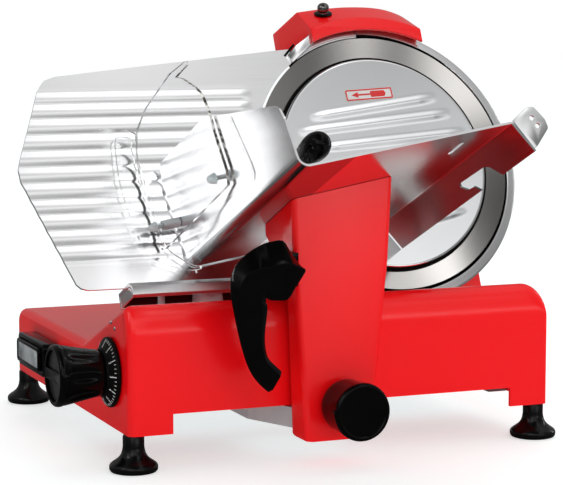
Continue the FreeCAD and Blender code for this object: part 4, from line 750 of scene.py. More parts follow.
def gauge_plate():
    left = [(-109.5, -303.0), (-108.2, -309.0), (-104.0, -313.5), (-60.0, -331.0), (-7.1, -351.6), (3.1, -352.5), (12.4, -350.0), (49.6, -336.0), (79.0, -325.5), (87.0, -319.0), (90.6, -309.0), (93.0, -286.0), (114.9, -80.0)]
    ls_v = [p[0] for p in left]
    ls_u = [p[1] for p in left]

    def top_v(u):
        return table([-325.5, -319.0, -309.0, -217.0, -90.0, -76.7], [79.0, 87.0, 90.6, 100.5, 113.8, 114.9], u)

    def u_left(v):
        return table(ls_v, ls_u, v)

    def u_right(v):
        r = 127.0
        u = -math.sqrt(max(0.0, r * r - v * v))
        return min(u, -79.2 if v < 0 else -76.8)

    # each rib is a shallow bow that ends in a narrow valley at its groove line
    FLAT = -0.75
    CR = 1.5                     # half width of the valley
    SL = 0.235                   # steepest slope

    def wave(tau, pitch):
        """height above the valley's bottom at tau below a groove line"""
        tau = tau % pitch
        if tau < CR:
            return SL * tau * tau / (2 * CR)
        if tau > pitch - CR:
            q = pitch - tau
            return SL * q * q / (2 * CR)
        w = pitch - 2 * CR
        x = tau - CR
        return SL * CR / 2 + SL * (x - x * x / w)

    def rib(v):
        """rib height at v, 0 outside the ribbed field"""
        if v >= GROOVES[0]:
            d = v - GROOVES[0]
            # the top rib's upper flank runs out into the flat
            w = 13.0
            if d < CR:
                return SL * d * d / (2 * CR)
            if d < w:
                x = (d - CR) / (w - CR)
                return SL * CR / 2 + SL * (w - CR) * (x - x * x) * (1 - x) * 0.92 - SL * CR / 2 * x
            return 0.0
        if v <= GROOVES[-1]:
            d = GROOVES[-1] - v
            w = 5.0
            if d < CR:
                return SL * d * d / (2 * CR)
            if d < w:
                x = (d - CR) / (w - CR)
                return (SL * CR / 2) * (1 - x) ** 2 + 0.10 * math.sin(math.pi * x)
            return 0.0
        for a, b in zip(GROOVES[:-1], GROOVES[1:]):
            if b <= v <= a:
                return wave(a - v, a - b)
        return 0.0

    vs_ = [GROOVES[-1] - 5.0 + 0.0, GROOVES[0] + 13.0]
    n_ = 150
    for i in range(n_ + 1):
        vs_.append(lerp(GROOVES[-1] - 5.0, GROOVES[0] + 13.0, i / n_))
    vs_ += [-109.5, -109.0, -107.5, -104.0, -100.0, -96.0, -92.0, -88.0, 83.0, 87.0, 90.0, 90.6, 93.0, 96.0, 100.5, 105.0, 110.0, 113.8, 114.9]
    vs_ = sorted(set(round(v, 3) for v in vs_))
    NU = 150
    rows_f = []

    def hgt(u, v):
        end = -122.0 + 0.16 * (v - 65.0)
        f = max(0.0, min(1.0, (end - u) / 13.0))
        f = f * f * (3 - 2 * f)
        return FLAT + (rib(v) - 0.12) * f + 0.0 if GROOVES[-1] - 5.0 < v < GROOVES[0] + 13.0 else FLAT

    bm = bmesh.new()
    for v in vs_:
        ul, ur = u_left(v), u_right(v)
        # the top edge cuts the upper rows short on the left
        if v > 79.0:
            lo_u = ul
            for _ in range(1):
                us = [-325.5, -319.0, -309.0, -217.0, -90.0, -76.7]
                tv = [79.0, 87.0, 90.6, 100.5, 113.8, 114.9]
                for i in range(5):
                    if tv[i] <= v <= tv[i + 1]:
                        lo_u = lerp(us[i], us[i + 1], (v - tv[i]) / (tv[i + 1] - tv[i]))
            ul = lo_u
        row = []
        for i in range(NU + 1):
            u = lerp(ul, ur, i / NU)
            row.append((u, v, hgt(u, v)))
        rows_f.append(row)
    f = [[bm.verts.new(v3(*p)) for p in row] for row in rows_f]
    k = [[bm.verts.new(v3(p[0], p[1], p[2] - 3.1)) for p in row] for row in rows_f]
    R = len(f)
    for i in range(R - 1):
        for j in range(NU):
            bm.faces.new((f[i][j], f[i][j + 1], f[i + 1][j + 1], f[i + 1][j]))
            bm.faces.new((k[i][j], k[i + 1][j], k[i + 1][j + 1], k[i][j + 1]))
        bm.faces.new((f[i][0], f[i + 1][0], k[i + 1][0], k[i][0]))
        bm.faces.new((f[i][NU], k[i][NU], k[i + 1][NU], f[i + 1][NU]))
    for j in range(NU):
        bm.faces.new((f[0][j], k[0][j], k[0][j + 1], f[0][j + 1]))
        bm.faces.new((f[R - 1][j], f[R - 1][j + 1], k[R - 1][j + 1], k[R - 1][j]))
    return put("gauge_plate_ribbed", bm, BP, M["plate"], "gauge", slot="aluminium", replaces=["gauge_plate"], angle=40)


gauge_plate()

# carrier bar below the gauge plate
CAR = [(-109.6, -18.0), (-109.6, 15.0), (-113.4, 20.5), (-114.4, 22.0), (-122.0, 22.0), (-124.0, 20.4), (-124.0, 18.6), (-122.0, 18.4), (-116.0, 18.4), (-112.6, 14.0), (-112.6, -15.0), (-124.0, -15.0), (-124.0, -18.0)]
cf = mat4(E2, NN, UX, Vector((0, -3.2, 236.4)))
prism("carrier_channel", CAR, -157.0, -20.0, cf, M["alu"], "gauge", bevel=0.3, slot="aluminium", replaces=["gauge_carrier"])
# what stands behind the channel's open underside lies in its shade: these dark red sheets are painted shade standing in
# for it
prism("carrier_shade_plate", [(-112.9, -13.2), (-112.9, -14.6), (-123.6, -14.6), (-123.6, -13.2)], -155.0, -22.0, cf, M["maroon"], "gauge", bevel=0.2, slot="red_enamel")
prism("carrier_shade_roof", [(-112.9, -12.8), (-112.9, 13.0), (-114.0, 13.0), (-114.0, -12.8)], -155.0, -22.0, cf, M["maroon"], "gauge", bevel=0.2, slot="red_enamel")
for e_, (xa_, xb_) in enumerate(((-156.9, -155.3), (-21.7, -20.1))):
    prism("carrier_end_%d" % e_, [(-112.9, -14.7), (-112.9, 13.6), (-116.4, 18.1), (-123.6, 18.1), (-123.6, -14.7)], xa_, xb_, cf, M["alu"], "gauge", bevel=0.2, slot="aluminium")


def column_bm(cx, cy, r, z0, n=64, drop=0.0):
    """upright round bar whose top is cut square to the gauge plate"""
    rows = []
    for f_ in (0.0, 1.0):
        row = []
        for i in range(n):
            a = 2 * math.pi * i / n
            x, y = cx + r * math.cos(a), cy + r * math.sin(a)
            top = 132.3 - drop + 0.4093 * (-y - 49.9) / 0.9124
            row.append((x, y, lerp(z0, top, f_)))
        rows.append(row)
    return loft_bm(rows)


put("carrier_peg", column_bm(-124.0, -52.0, 3.2, 95.5, 32), WORLD, M["column"], "gauge", slot="steel")
put("polished_column", column_bm(-80.0, -50.0, 13.5, 73.1, 96), WORLD, M["column"], "gauge", slot="polished", replaces=["gauge_column"])
put("column_collar", column_bm(-80.0, -50.0, 13.9, 119.0, 96, 8.5), WORLD, M["bolt"], "gauge", slot="polished")


# ------------------------------------------------------------------ carriage arm
def arm_ztop(x, y):
    """height of the floor's underside (up = -2.2) above the point (x, y)"""
    # (P - F0) . WU = -2.2
    d = -2.2 - ((x - F0.x) * WU.x + (y - F0.y) * WU.y)
    return F0.z + d / WU.z


def arm_piece():
    def sec(z_nom):
        yf = table([22, 224, 240], [-212.0, -192.0, -190.0], z_nom)
        yb = table([22, 150, 160, 175, 188, 260], [-179.0, -179.0, -171.5, -149.5, -130.0, -124.5], z_nom)
        xl = table([22, 150, 260], [-52.0, -56.9, -57.0], z_nom)
        xr = table([22, 70, 168, 240], [5.0, 14.0, 29.0, 36.0], z_nom)
        pts = [(xl, yf), (xr, yf), (xr, yb), (xl, yb)]
        return round_poly(pts, [5.0, 5.0, 2.5, 2.5], 6)

    def sections(inset, zlo, ztop_off):
        rows = []
        levels = [0, 0.002, 0.006, 0.012, 0.1, 0.2, 0.3, 0.4, 0.5, 0.56, 0.6, 0.64, 0.68, 0.72, 0.76, 0.8, 0.85, 0.9, 0.95, 1.0]
        for t in levels:
            row = []
            base_ = None
            for _ in range(1):
                pass
            n = len(sec(100))
            for k in range(n):
                x, y = sec(100)[k]
                z = 100.0
                for _ in range(5):
                    zt = arm_ztop(x, y) - ztop_off
                    z = zlo + (zt - zlo) * t
                    x, y = sec(z)[k]
                row.append((x, y, z))
            if inset:
                cx = sum(p[0] for p in row) / n
                cy = sum(p[1] for p in row) / n
            rows.append(row)
        return rows

    rows = sections(0, 22.0, 0.0)
    # round the bottom rim
    for i, (d, dz) in enumerate(((3.2, 0.0), (1.7, 0.5), (0.6, 1.6), (0.0, 3.4))):
        n = len(rows[i])
        cx = sum(p[0] for p in rows[i]) / n
        cy = sum(p[1] for p in rows[i]) / n
        new = []
        for x, y, z in rows[i]:
            fx = (x - cx)
            fy = (y - cy)
            new.append((x - math.copysign(min(d, abs(fx)), fx), y - math.copysign(min(d, abs(fy)), fy), 22.0 + dz))
        rows[i] = new
    bm = loft_bm(rows)
    ob = put("arm_casting", bm, WORLD, M["red"], "carriage", slot="red_enamel", replaces=["carriage_arm"], angle=38)
    # the casting is open at the back
    cut = bmesh.new()
    prism_rows = []
    fr = mat4(Vector((0, 1, 0)), Vector((0, 0, 1)), UX, Vector((0, 0, 0)))
    prism_bm([(-207.0, 27.0), (-170.0, 27.0), (-170.0, 159.0), (-118.0, 195.0), (-118.0, 224.0), (-186.0, 226.0), (-193.0, 158.0)], -51.0, 0.5, cut)
    difference(ob, cut, fr)
    finish_mesh(ob, 38)
    return ob


arm_piece()


# ------------------------------------------------------------------ food tray
def tray_left(h_):
    """the wall stands a little askew, 10 mm further out at the blade's end"""
    return -10.0 * (257.0 - h_) / 254.0


EMBOSS = [(76.0, 169.8), (60.0, 173.2), (44.0, 176.4), (30.0, 179.0), (24.0, 179.0), (20.5, 175.5), (19.2, 169.0), (19.0, 155.0), (19.0, 120.0), (19.0, 90.0), (20.5, 80.0)]


def tray_piece():
    hs = [3.2, 4.0, 6.0, 9.0, 12.0]
    x = 12.0
    while x < 254.0:
        x += 1.8 if 150.0 < x < 190.0 else 3.4
        hs.append(min(x, 254.0))
    hs += [255.6, 256.4, 257.0]
    hs = sorted(set(round(h_, 3) for h_ in hs))

    def wall_top(h_):
        return table([3, 8, 12, 60, 95, 118, 125, 160, 233, 247, 254, 257], [80.0, 92.0, 95.5, 95.5, 95.5, 95.5, 94.5, 83.0, 60.0, 55.5, 50.0, 41.0], h_)

    def press(up_, h_):
        """low pressed line on the wall"""
        best = 1e9
        for a, b in zip(EMBOSS[:-1], EMBOSS[1:]):
            a2, b2, p = Vector(a), Vector(b), Vector((up_, h_))
            d = b2 - a2
            t = max(0.0, min(1.0, (p - a2).dot(d) / d.length_squared))
            best = min(best, (p - (a2 + d * t)).length)
        fade = max(0.0, min(1.0, (h_ - 82.0) / 30.0)) * max(0.0, min(1.0, (80.0 - up_) / 5.0))
        return 0.30 * fade * (0.5 + 0.5 * math.cos(math.pi * min(best, 3.4) / 3.4)) if best < 3.4 else 0.0

    def section(h_):
        W = lerp(186.0, 196.0, (h_ - 4.0) / 253.0)
        L = tray_left(h_)
        pts = []
        wt = wall_top(h_)
        for k in range(44):
            up_ = lerp(wt, 9.0, k / 43)
            pts.append((L - press(up_, h_), up_))
        for k in range(1, 9):
            a = math.pi + math.pi / 2 * k / 8
            pts.append((L + 8.0 + 8.0 * math.cos(a), 8.0 + 8.0 * math.sin(a)))
        for k in range(1, 24):
            pts.append((lerp(L + 8.0, W - 2.5, k / 23), 0.0))
        fd = Vector((0.41, -0.91)).normalized()
        c0 = Vector((W - 2.5, -2.6))
        q1 = math.acos(Vector((-fd.y, fd.x)).dot(Vector((1, 0))))
        for k in range(1, 6):
            q = math.pi / 2 - (math.pi / 2 - q1) * k / 5
            pts.append((c0.x + 2.6 * math.cos(q), c0.y + 2.6 * math.sin(q)))
        s = Vector(pts[-1])
        for k in range(1, 9):
            p = s + fd * (29.5 * k / 8)
            pts.append((p.x, p.y))
        return pts

    rows = [[(x, y, h_) for x, y in section(h_)] for h_ in hs]
    bm = bmesh.new()
    vs = [[bm.verts.new(v3(*p)) for p in r] for r in rows]
    n = len(vs[0])
    for i in range(len(vs) - 1):
        for k in range(n - 1):
            bm.faces.new((vs[i][k], vs[i + 1][k], vs[i + 1][k + 1], vs[i][k + 1]))
    bmesh.ops.recalc_face_normals(bm, faces=bm.faces)
    me = bpy.data.meshes.new("tray_sheet")
    bm.to_mesh(me)
    bm.free()
    ob = bpy.data.objects.new("folded_tray", me)
    bpy.context.scene.collection.objects.link(ob)
    ob.matrix_world = TP
    me.materials.append(M["tray"])
    # thickness goes outwards: below the floor and behind the wall
    floor_face = min(me.polygons, key=lambda p: (p.center - v3(100, 0, 130)).length)
    if floor_face.normal.y < 0:
        me.flip_normals()
    so = ob.modifiers.new("sheet", "SOLIDIFY")
    so.thickness = 1.9 * MM
    so.offset = -1.0
    so.use_even_offset = True
    applied(ob)
    slot_fr = mat4(WX, NN, -WU, F0)
    difference(ob, prism_bm([(p[0], p[1]) for p in round_poly([(158.5, 203.0), (162.5, 203.0), (162.5, 229.0), (158.5, 229.0)], 1.9, 5)], -4, 4), slot_fr)
    # stepped notch in the flange, drawn in the flange's own plane (h, distance down)
    fd = (WX * 0.41 - WU * 0.91).normalized()
    fn = NN.cross(fd)
    notch_fr = mat4(NN, fd, fn, F0 + WX * 191.0)
    step = round_poly([(161.8, 40.0), (161.8, 31.4), (156.7, 24.6), (147.0, 23.8), (140.6, 18.2), (142.8, 14.9), (188.0, 16.8), (193.8, 20.1), (201.0, 31.8), (201.0, 40.0)], [0, 1.5, 2.0, 2.0, 1.5, 1.2, 2.0, 3.0, 1.0, 0], 4)
    difference(ob, prism_bm(step, -12, 14), notch_fr)
    # the flange and the floor's underside by the wall get darker metal: painted shade
    ob.data.materials.append(M["flange"])
    for p in ob.data.polygons:
        c = p.center / MM
        if c.y < -2.2 and c.x > 180.0:
            p.material_index = 1
        if p.normal.y < -0.25 and c.y < 7.0 and c.x < 46.0:
            p.material_index = 1
    finish_mesh(ob, 30)
    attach(ob, "carriage")
    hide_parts("food_tray")
    return ob


M["tray"] = brushed("tray_alu_m", (0.90, 0.90, 0.91), (0.96, 0.96, 0.97), (0.14, 0.20), (900, 900, 14), strength=0.006)
tray_piece()
TAB = round_poly([(196.6, 0.6), (213.6, 9.5), (219.8, 8.6), (226.3, -4.0), (226.6, -11.8), (211.5, -24.3), (207.2, -26.6)], [0.3, 2.5, 4.0, 2.0, 3.5, 2.0, 0.3], 6)
tab_ob = prism("tray_end_tab", TAB, 254.9, 256.9, TP, M["tray"], "carriage", bevel=0.3, slot="polished")
for x_, y_ in ((214.6, -0.6), (217.4, -8.0)):
    difference(tab_ob, prism_bm(circle(x_, y_, 2.3, 28), 250.0, 262.0), TP)
finish_mesh(tab_ob, 30)


# ------------------------------------------------------------------ clear guard
def guard():
    # shield: a slanted sheet whose far edge folds into a lip beside the gauge plate
    gx = (WX * -22.4 + NN * -125.0).normalized()
    gz = gx.cross(WU)
    GF = mat4(gx, WU, gz, F0 + WX * -8.8 + NN * 131.0)
    near = catmull([(-3.0, 30.0), (-7.0, 42.0), (-7.2, 60.0), (-7.6, 76.0), (-8.8, 90.0), (-7.5, 108.4), (-2.0, 118.5), (5.5, 126.5), (13.0, 134.0), (22.0, 139.6)], 5)
    out = near + [(12.0, 140.6), (0.6, 141.2), (0.3, 145.0)] + round_poly([(0.3, 145.0), (30.0, 146.0), (84.0, 136.0), (108.5, 124.8), (118.8, 109.8), (126.0, 90.0), (127.2, 66.0), (127.2, 18.5), (121.0, 17.5), (-3.0, 30.0)],
                     [0.0, 30.0, 30.0, 20.0, 25.0, 30.0, 30.0, 2.0, 2.0, 0.0], 8)[1:-1]
    bm = prism_bm(out, -2.9, -0.1)
    ob = put("clear_shield", bm, GF, [M["clear"], M["clear_edge"], M["fold_edge"]], "carriage", slot="clear", replaces=["hand_guard"], angle=30)
    for p in ob.data.polygons:
        if abs(p.normal.z) < 0.5:
            p.material_index = 1
            c = p.center / MM
            if c.x > 40.0 and c.y > 22.0:
                p.material_index = 2
    lip_o = catmull([(-27.5, 131.5), (-33.5, 134.0), (-40.0, 131.0), (-45.0, 125.0), (-49.0, 108.0), (-52.6, 85.0), (-53.0, 61.0), (-51.6, 37.0), (-46.0, 17.5), (-38.0, 8.0), (-26.0, 0.5), (-12.0, -5.2), (-3.0, -5.6)], 6)
    lip_i = catmull([(-3.0, -2.8), (-8.0, -2.8), (-12.5, 0.6), (-18.5, 7.0), (-25.0, 14.0), (-28.6, 22.0), (-29.4, 40.0), (-29.4, 70.0), (-28.8, 100.0), (-27.0, 118.0), (-24.0, 128.0)], 6)
    bm = prism_bm(lip_o + lip_i, 4.6, 7.2)
    ob = put("clear_lip", bm, TP, [M["clear"], M["fold_edge"]], "carriage", slot="clear", angle=30)
    for p in ob.data.polygons:
        if abs(p.normal.z) < 0.5:
            p.material_index = 1
    return GF


GF = guard()


# the guard's two fixings: domed hexagon heads on washers, with shanks running through
def hexa(r, z, a):
    k = (a % (math.pi / 3)) - math.pi / 6
    return r * math.cos(math.pi / 6) / math.cos(k)


for k_, (h0_, up0_, wh_, wn_) in enumerate(((123.0, 41.0, -14.7, -5.1), (13.0, 38.5, -34.9, -9.4))):
    fr_ = mat4(NN, WU, -WX, F0 + WX * wh_ + WU * up0_ + NN * h0_)
    lathe("guard_bolt_washer_%d" % k_, [(0.0, 0.05), (4.9, 0.05), (5.1, 0.25), (5.1, 0.8), (4.9, 1.0), (0.0, 1.0)], fr_, M["bolt"], "carriage", seg=40, slot="steel", replaces=["guard_screws"])
    lathe("guard_bolt_hex_%d" % k_, [(0.0, 1.0), (4.6, 1.0), (4.6, 3.4), (3.9, 4.0), (0.0, 4.0)], fr_, M["bolt"], "carriage", seg=48, rfun=hexa, slot="steel", angle=20)
    lathe("guard_bolt_dome_%d" % k_, [(0.0, 3.9), (3.7, 3.9), (3.6, 4.8), (3.1, 6.0), (2.2, 7.0), (1.1, 7.6), (0.0, 7.7)], fr_, M["bolt"], "carriage", seg=40, slot="steel", angle=40)
    lathe("guard_bolt_shank_%d" % k_, [(0.0, 0.1), (1.95, 0.1), (1.95, -abs(wh_ - wn_) - 6.0), (0.0, -abs(wh_ - wn_) - 6.0)], fr_, M["bolt"], "carriage", seg=24, slot="steel")
fr_ = mat4(NN, WU, -WX, F0 + WX * -12.4 + WU * 38.5 + NN * 13.0)
lathe("guard_spacer", [(2.1, 0.0), (4.5, 0.0), (4.5, 16.0), (2.1, 16.0)], fr_, M["bolt"], "carriage", seg=32, slot="steel")

# ------------------------------------------------------------------ handle
PAIRS = [((-58.2, 170.6), (-58.2, 167.4)), ((-61.0, 174.8), (-61.0, 163.2)), ((-67.0, 183.6), (-67.0, 154.6)), ((-73.4, 192.3), (-73.4, 145.4)), ((-84.0, 192.0), (-83.0, 144.8)), ((-92.0, 190.0), (-89.0, 145.5)),
         ((-104.0, 184.3), (-91.2, 147.2)), ((-114.2, 176.5), (-92.0, 147.0)), ((-119.8, 168.0), (-92.2, 145.5)), ((-121.8, 158.8), (-92.2, 143.5)), ((-121.3, 148.0), (-91.0, 140.5)),
         ((-119.6, 138.0), (-91.2, 134.5)), ((-115.8, 120.0), (-93.0, 119.5)), ((-111.4, 103.0), (-92.9, 108.5)), ((-106.3, 89.5), (-90.6, 98.6)), ((-100.0, 79.5), (-84.8, 92.0)), ((-91.5, 71.0), (-79.2, 87.0)), ((-88.6, 69.0), (-78.0, 85.2))]


def handle():
    """flat-faced hook: outer edge chamfered wide near the top and narrow below"""
    outer = catmull([(*a, 0) for a, b in PAIRS], 3)
    inner = catmull([(*b, 0) for a, b in PAIRS], 3)
    secs = []
    n = len(outer)
    yf, yb = -224.9, -198.2
    for i in range(n):
        o = Vector(outer[i][:2])
        q = Vector(inner[i][:2])
        c = (o + q) / 2
        hw = (o - q) / 2
        W = max(1e-6, hw.length)
        t = i / (n - 1)
        # chamfer: share of the width taken by the slope, and how far back it runs
        ca = table([0.0, 0.12, 0.30, 0.42, 0.55, 1.0], [0.55, 0.56, 0.62, 0.42, 0.30, 0.26], t)
        cb = table([0.0, 0.12, 0.30, 0.42, 0.55, 1.0], [13.0, 13.0, 13.0, 9.5, 6.0, 5.0], t)
        ci = table([0.0, 0.12, 0.30, 1.0], [0.05, 0.05, 0.16, 0.20], t)
        di = table([0.0, 0.12, 0.30, 1.0], [1.0, 1.2, 3.0, 3.0], t)
        y0 = yf + table([0.0, 0.1, 0.8, 1.0], [1.2, 0.0, 0.0, 1.5], t)
        k1 = min(9.0 / W, 0.85)
        prof = [(1.0, y0 + cb), (1.0 - k1 * 0.12, y0 + cb + 3.0), (1.0 - k1, yb - 1.5), (1.0 - k1 * 1.15, yb), (-1.0 + 2.0 / W, yb), (-1.0, yb - 2.4), (-1.0, y0 + di), (-1.0 + 2 * ci, y0), (1.0 - 2 * ca * 0.62, y0)]
        secs.append([(c.x + hw.x * a, y, c.y + hw.y * a) for a, y in prof])
    bm = loft_bm(secs)
    ob = put("hooked_handle", bm, WORLD, M["black"], "carriage", slot="black_gloss", replaces=["carriage_handle"], angle=22, bevel=1.0, seg=3, bevel_angle=24.0)
    pts = round_poly([(-72.0, 153.0), (-57.1, 153.0), (-57.1, 181.0), (-72.0, 181.0)], [3, 0.5, 0.5, 3], 4)
    prism("handle_foot", pts, 184.8, 206.0, mat4(UX, Vector((0, 0, 1)), Vector((0, -1, 0)), Vector((0, 0, 0))), M["black"], "carriage", bevel=0.8, slot="black_gloss")
    return ob


handle()

# ------------------------------------------------------------------ knobs
lathe("lock_knob_turned", [(0.0, 186.0), (3.8, 186.0), (4.0, 186.4), (4.0, 212.4), (17.6, 212.4), (20.4, 213.0), (22.0, 214.6), (22.5, 217.0), (22.6, 222.0), (23.2, 232.0), (23.9, 243.0), (24.2, 246.5), (24.3, 248.2), (23.9, 249.8), (22.9, 250.9), (21.6, 251.3),
                           (20.6, 251.1), (20.0, 250.5), (12.0, 250.1), (0.0, 250.0)],
      axis_frame(Vector((-18.0, 0, 52.5)), Vector((0, -1, 0))), M["black"], "lock", seg=96, slot="black_gloss", replaces=["lock_knob"], angle=35)
lathe("pusher_knob_turned", [(4.05, 188.0), (6.8, 188.0), (8.2, 188.8), (9.2, 191.0), (10.0, 196.0), (10.8, 203.0), (11.6, 211.0), (11.8, 216.0), (11.5, 221.0), (10.4, 225.6), (8.6, 229.2), (6.0, 231.8), (3.0, 233.2), (0.0, 233.5), (0.0, 203.0), (4.05, 203.0)],
      mat4(WX, WU, NN, F0 + WX * 37 + WU * 24), M["black"], "pusher", seg=72, slot="black_gloss", replaces=["pusher_knob"], angle=40)


def knob_r(r, z, a):
    """eight shallow flutes along the barrel"""
    if r < 17.0:
        return r
    t = max(0.0, min(1.0, (z - 209.0) / 8.0)) * max(0.0, min(1.0, (238.0 - z) / 6.0))
    c = 0.5 + 0.5 * math.cos(8 * a)
    return r - 1.7 * t * c ** 3


KF = axis_frame(Vector((0, -128.5, 78.0)), Vector((-1, 0, 0)))
lathe("index_knob_fluted", [(6.05, 204.8), (18.6, 204.8), (19.4, 205.6), (19.9, 207.5), (20.2, 210.0), (20.9, 214.0), (21.8, 219.0), (22.8, 224.0), (23.8, 229.0), (24.6, 233.0), (25.2, 236.5), (25.3, 237.4), (24.7, 238.0), (24.7, 238.6), (25.6, 239.2),
                            (26.1, 241.0), (26.1, 242.6), (25.7, 244.2), (24.8, 245.4), (23.8, 245.9), (23.2, 245.7), (0.0, 245.7), (0.0, 240.0), (6.05, 240.0)],
      KF, M["black"], "index", seg=160, rfun=knob_r, slot="black_gloss", replaces=["index_knob"], angle=35)

# dial flange with engraved scale: long strokes at the numbers, short ones between
lathe("dial_flange", [(6.05, 195.0), (28.6, 195.0), (29.3, 195.4), (29.6, 196.2), (29.6, 197.4), (29.1, 198.2), (28.4, 198.7), (21.4, 202.4), (20.6, 203.0), (20.2, 204.5), (6.05, 204.5)], KF, M["black_matte"], "index", seg=128, slot="black_matte",
      replaces=["index_dial"], angle=35)


def cone_z(r):
    return 198.7 + (28.4 - r) / 7.0 * 3.7


def ticks():
    bm = bmesh.new()
    for k in range(44):
        a = math.radians(90 - 330.0 * k / 44)
        big = k % 4 == 0
        r0, r1 = (24.3, 28.2) if big else (26.4, 28.2)
        hw = 0.34 if big else 0.24
        rows = []
        for r in (r0, r1):
            for s in (-1, 1):
                x = r * math.cos(a) - s * hw * math.sin(a)
                y = r * math.sin(a) + s * hw * math.cos(a)
                rows.append((x, y, cone_z(r)))
        lo = [bm.verts.new(v3(x, y, z - 0.3)) for x, y, z in rows]
        hi = [bm.verts.new(v3(x, y, z + 0.12)) for x, y, z in rows]
        q = (0, 1, 3, 2)
        bm.faces.new([hi[i] for i in q])
        bm.faces.new([lo[i] for i in reversed(q)])
        for i in range(4):
            a_, b_ = q[i], q[(i + 1) % 4]
            bm.faces.new((lo[a_], lo[b_], hi[b_], hi[a_]))
    return put("dial_ticks", bm, KF, M["tick"], "index", slot="white_plastic", weld=False)


ticks()
GLYPH = {
    "0": [[(0, 0), (2, 0), (2, 4), (0, 4), (0, 0)]],
    "1": [[(0.4, 3.2), (1.2, 4), (1.2, 0)]],
    "2": [[(0, 3.2), (0.6, 4), (2, 4), (2, 2.4), (0, 0), (2, 0)]],
    "3": [[(0, 4), (2, 4), (0.9, 2.3), (2, 1.6), (2, 0.5), (1.4, 0), (0, 0)]],
    "4": [[(1.5, 0), (1.5, 4), (0, 1.3), (2, 1.3)]],
    "5": [[(2, 4), (0, 4), (0, 2.3), (2, 2.3), (2, 0), (0, 0)]],
    "6": [[(2, 4), (0, 2.4), (0, 0), (2, 0), (2, 2), (0, 2)]],
    "7": [[(0, 4), (2, 4), (0.8, 0)]],
    "8": [[(0, 0), (2, 0), (2, 4), (0, 4), (0, 0)], [(0, 2), (2, 2)]],
    "9": [[(0, 0), (2, 1.6), (2, 4), (0, 4), (0, 2), (2, 2)]],
}


def stroke_bm(bm, a, b, w, z0, z1, tf):
    a, b = Vector(a), Vector(b)
    d = (b - a).normalized() if (b - a).length > 1e-6 else Vector((1, 0))
    n_ = Vector((-d.y, d.x)) * w
    a, b = a - d * w * 0.9, b + d * w * 0.9
    q = [a + n_, a - n_, b - n_, b + n_]
    lo = [bm.verts.new(tf(p.x, p.y, z0)) for p in q]
    hi = [bm.verts.new(tf(p.x, p.y, z1)) for p in q]
    bm.faces.new(list(reversed(lo)))
    bm.faces.new(hi)
    for i in range(4):
        bm.faces.new((lo[i], lo[(i + 1) % 4], hi[(i + 1) % 4], hi[i]))


def dial_numbers():
    bm = bmesh.new()
    for k in range(0, 44, 4):
        a = math.radians(90 - 330.0 * k / 44)
        txt = str(k // 4)
        size = 0.52
        width = len(txt) * 2.6 - 0.6
        rc = 22.6
        er = Vector((math.cos(a), math.sin(a)))
        et = Vector((math.sin(a), -math.cos(a)))

        def tf(x, y, z, er=er, et=et):
            r = rc + (y - 2) * size
            t = (x - width / 2) * size
            p = er * r + et * t
            return v3(p.x, p.y, cone_z(min(p.length, 28.4)) + z)

        for ci, ch in enumerate(txt):
            for line in GLYPH[ch]:
                for p, q in zip(line[:-1], line[1:]):
                    stroke_bm(bm, (p[0] + ci * 2.6, p[1]), (q[0] + ci * 2.6, q[1]), 0.34, -0.3, 0.12, tf)
    return put("dial_numbers", bm, KF, M["tick"], "index", slot="white_plastic", weld=False)


dial_numbers()

# knob's end: half-moon recesses either side of a grip bar
MOON = []
for sgn in (1, -1):
    pts = []
    for k in range(25):
        a = math.radians(-78 + 156.0 * k / 24)
        x, y = 21.6 * math.cos(a), 21.6 * math.sin(a)
        pts.append((sgn * max(x, 4.4), y))
    MOON.append(pts if sgn > 0 else list(reversed(pts)))
knob_ob = bpy.data.objects["index_knob_fluted"]
for mo_ in MOON:
    difference(knob_ob, prism_bm(mo_, 242.0, 250.0, taper=[(x * 1.02, y * 1.02) for x, y in mo_]), KF @ Matrix.Rotation(math.radians(90), 4, "Z"))
finish_mesh(knob_ob, 35)
for i_, mo_ in enumerate(MOON):
    inner = [(x * 0.97 + (0.25 if i_ == 0 else -0.25), y * 0.97) for x, y in mo_]
    prism("knob_inlay_%d" % i_, inner, 241.6, 243.2, KF @ Matrix.Rotation(math.radians(90), 4, "Z"), M["inlay"] if "inlay" in M else M["grey_plate"], "index", bevel=0.35, slot="aluminium")

# ------------------------------------------------------------------ switch on the left end
SF = mat4(Vector((0, 1, 0)), Vector((0, 0, 1)), Vector((-1, 0, 0)), Vector((0, 0, 0)))  # x along Y, y along Z, z outwards (-X)... mirrored below
SF = mat4(Vector((0, -1, 0)), Vector((0, 0, 1)), Vector((-1, 0, 0)), Vector((0, 0, 0)))
plate("switch_bezel", round_poly([(-116.0, 47.0), (-30.0, 47.0), (-30.0, 77.0), (-116.0, 77.0)], 5.0, 6), [round_poly([(-110.0, 51.2), (-36.0, 51.2), (-36.0, 72.8), (-110.0, 72.8)], 3.0, 6)], 194.5, 209.3, SF, M["black"], "frame",
      bevel=1.0, slot="black_gloss", replaces=["switch_housing"])
prism("switch_floor", [(-110.4, 50.8), (-35.6, 50.8), (-35.6, 73.2), (-110.4, 73.2)], 194.6, 196.4, SF, M["black_matte"], "frame", bevel=0.2, slot="black_matte")
prism("switch_body_rear", round_poly([(-97.0, 53.0), (-45.0, 53.0), (-45.0, 71.0), (-97.0, 71.0)], 2.0, 4), 184.2, 195.0, SF, M["black_matte"], "frame", bevel=0.4, slot="black_matte")
BOOT = round_poly([(-109.6, 51.4), (-36.4, 51.4), (-36.4, 72.6), (-109.6, 72.6)], 4.0, 6)
prism("switch_window", [(x * 0.985 - 1.1, (y - 62) * 0.93 + 62) for x, y in BOOT], 210.6, 211.8, SF, M["window"], "frame", bevel=0.5, slot="clear", replaces=["switch_boot"])
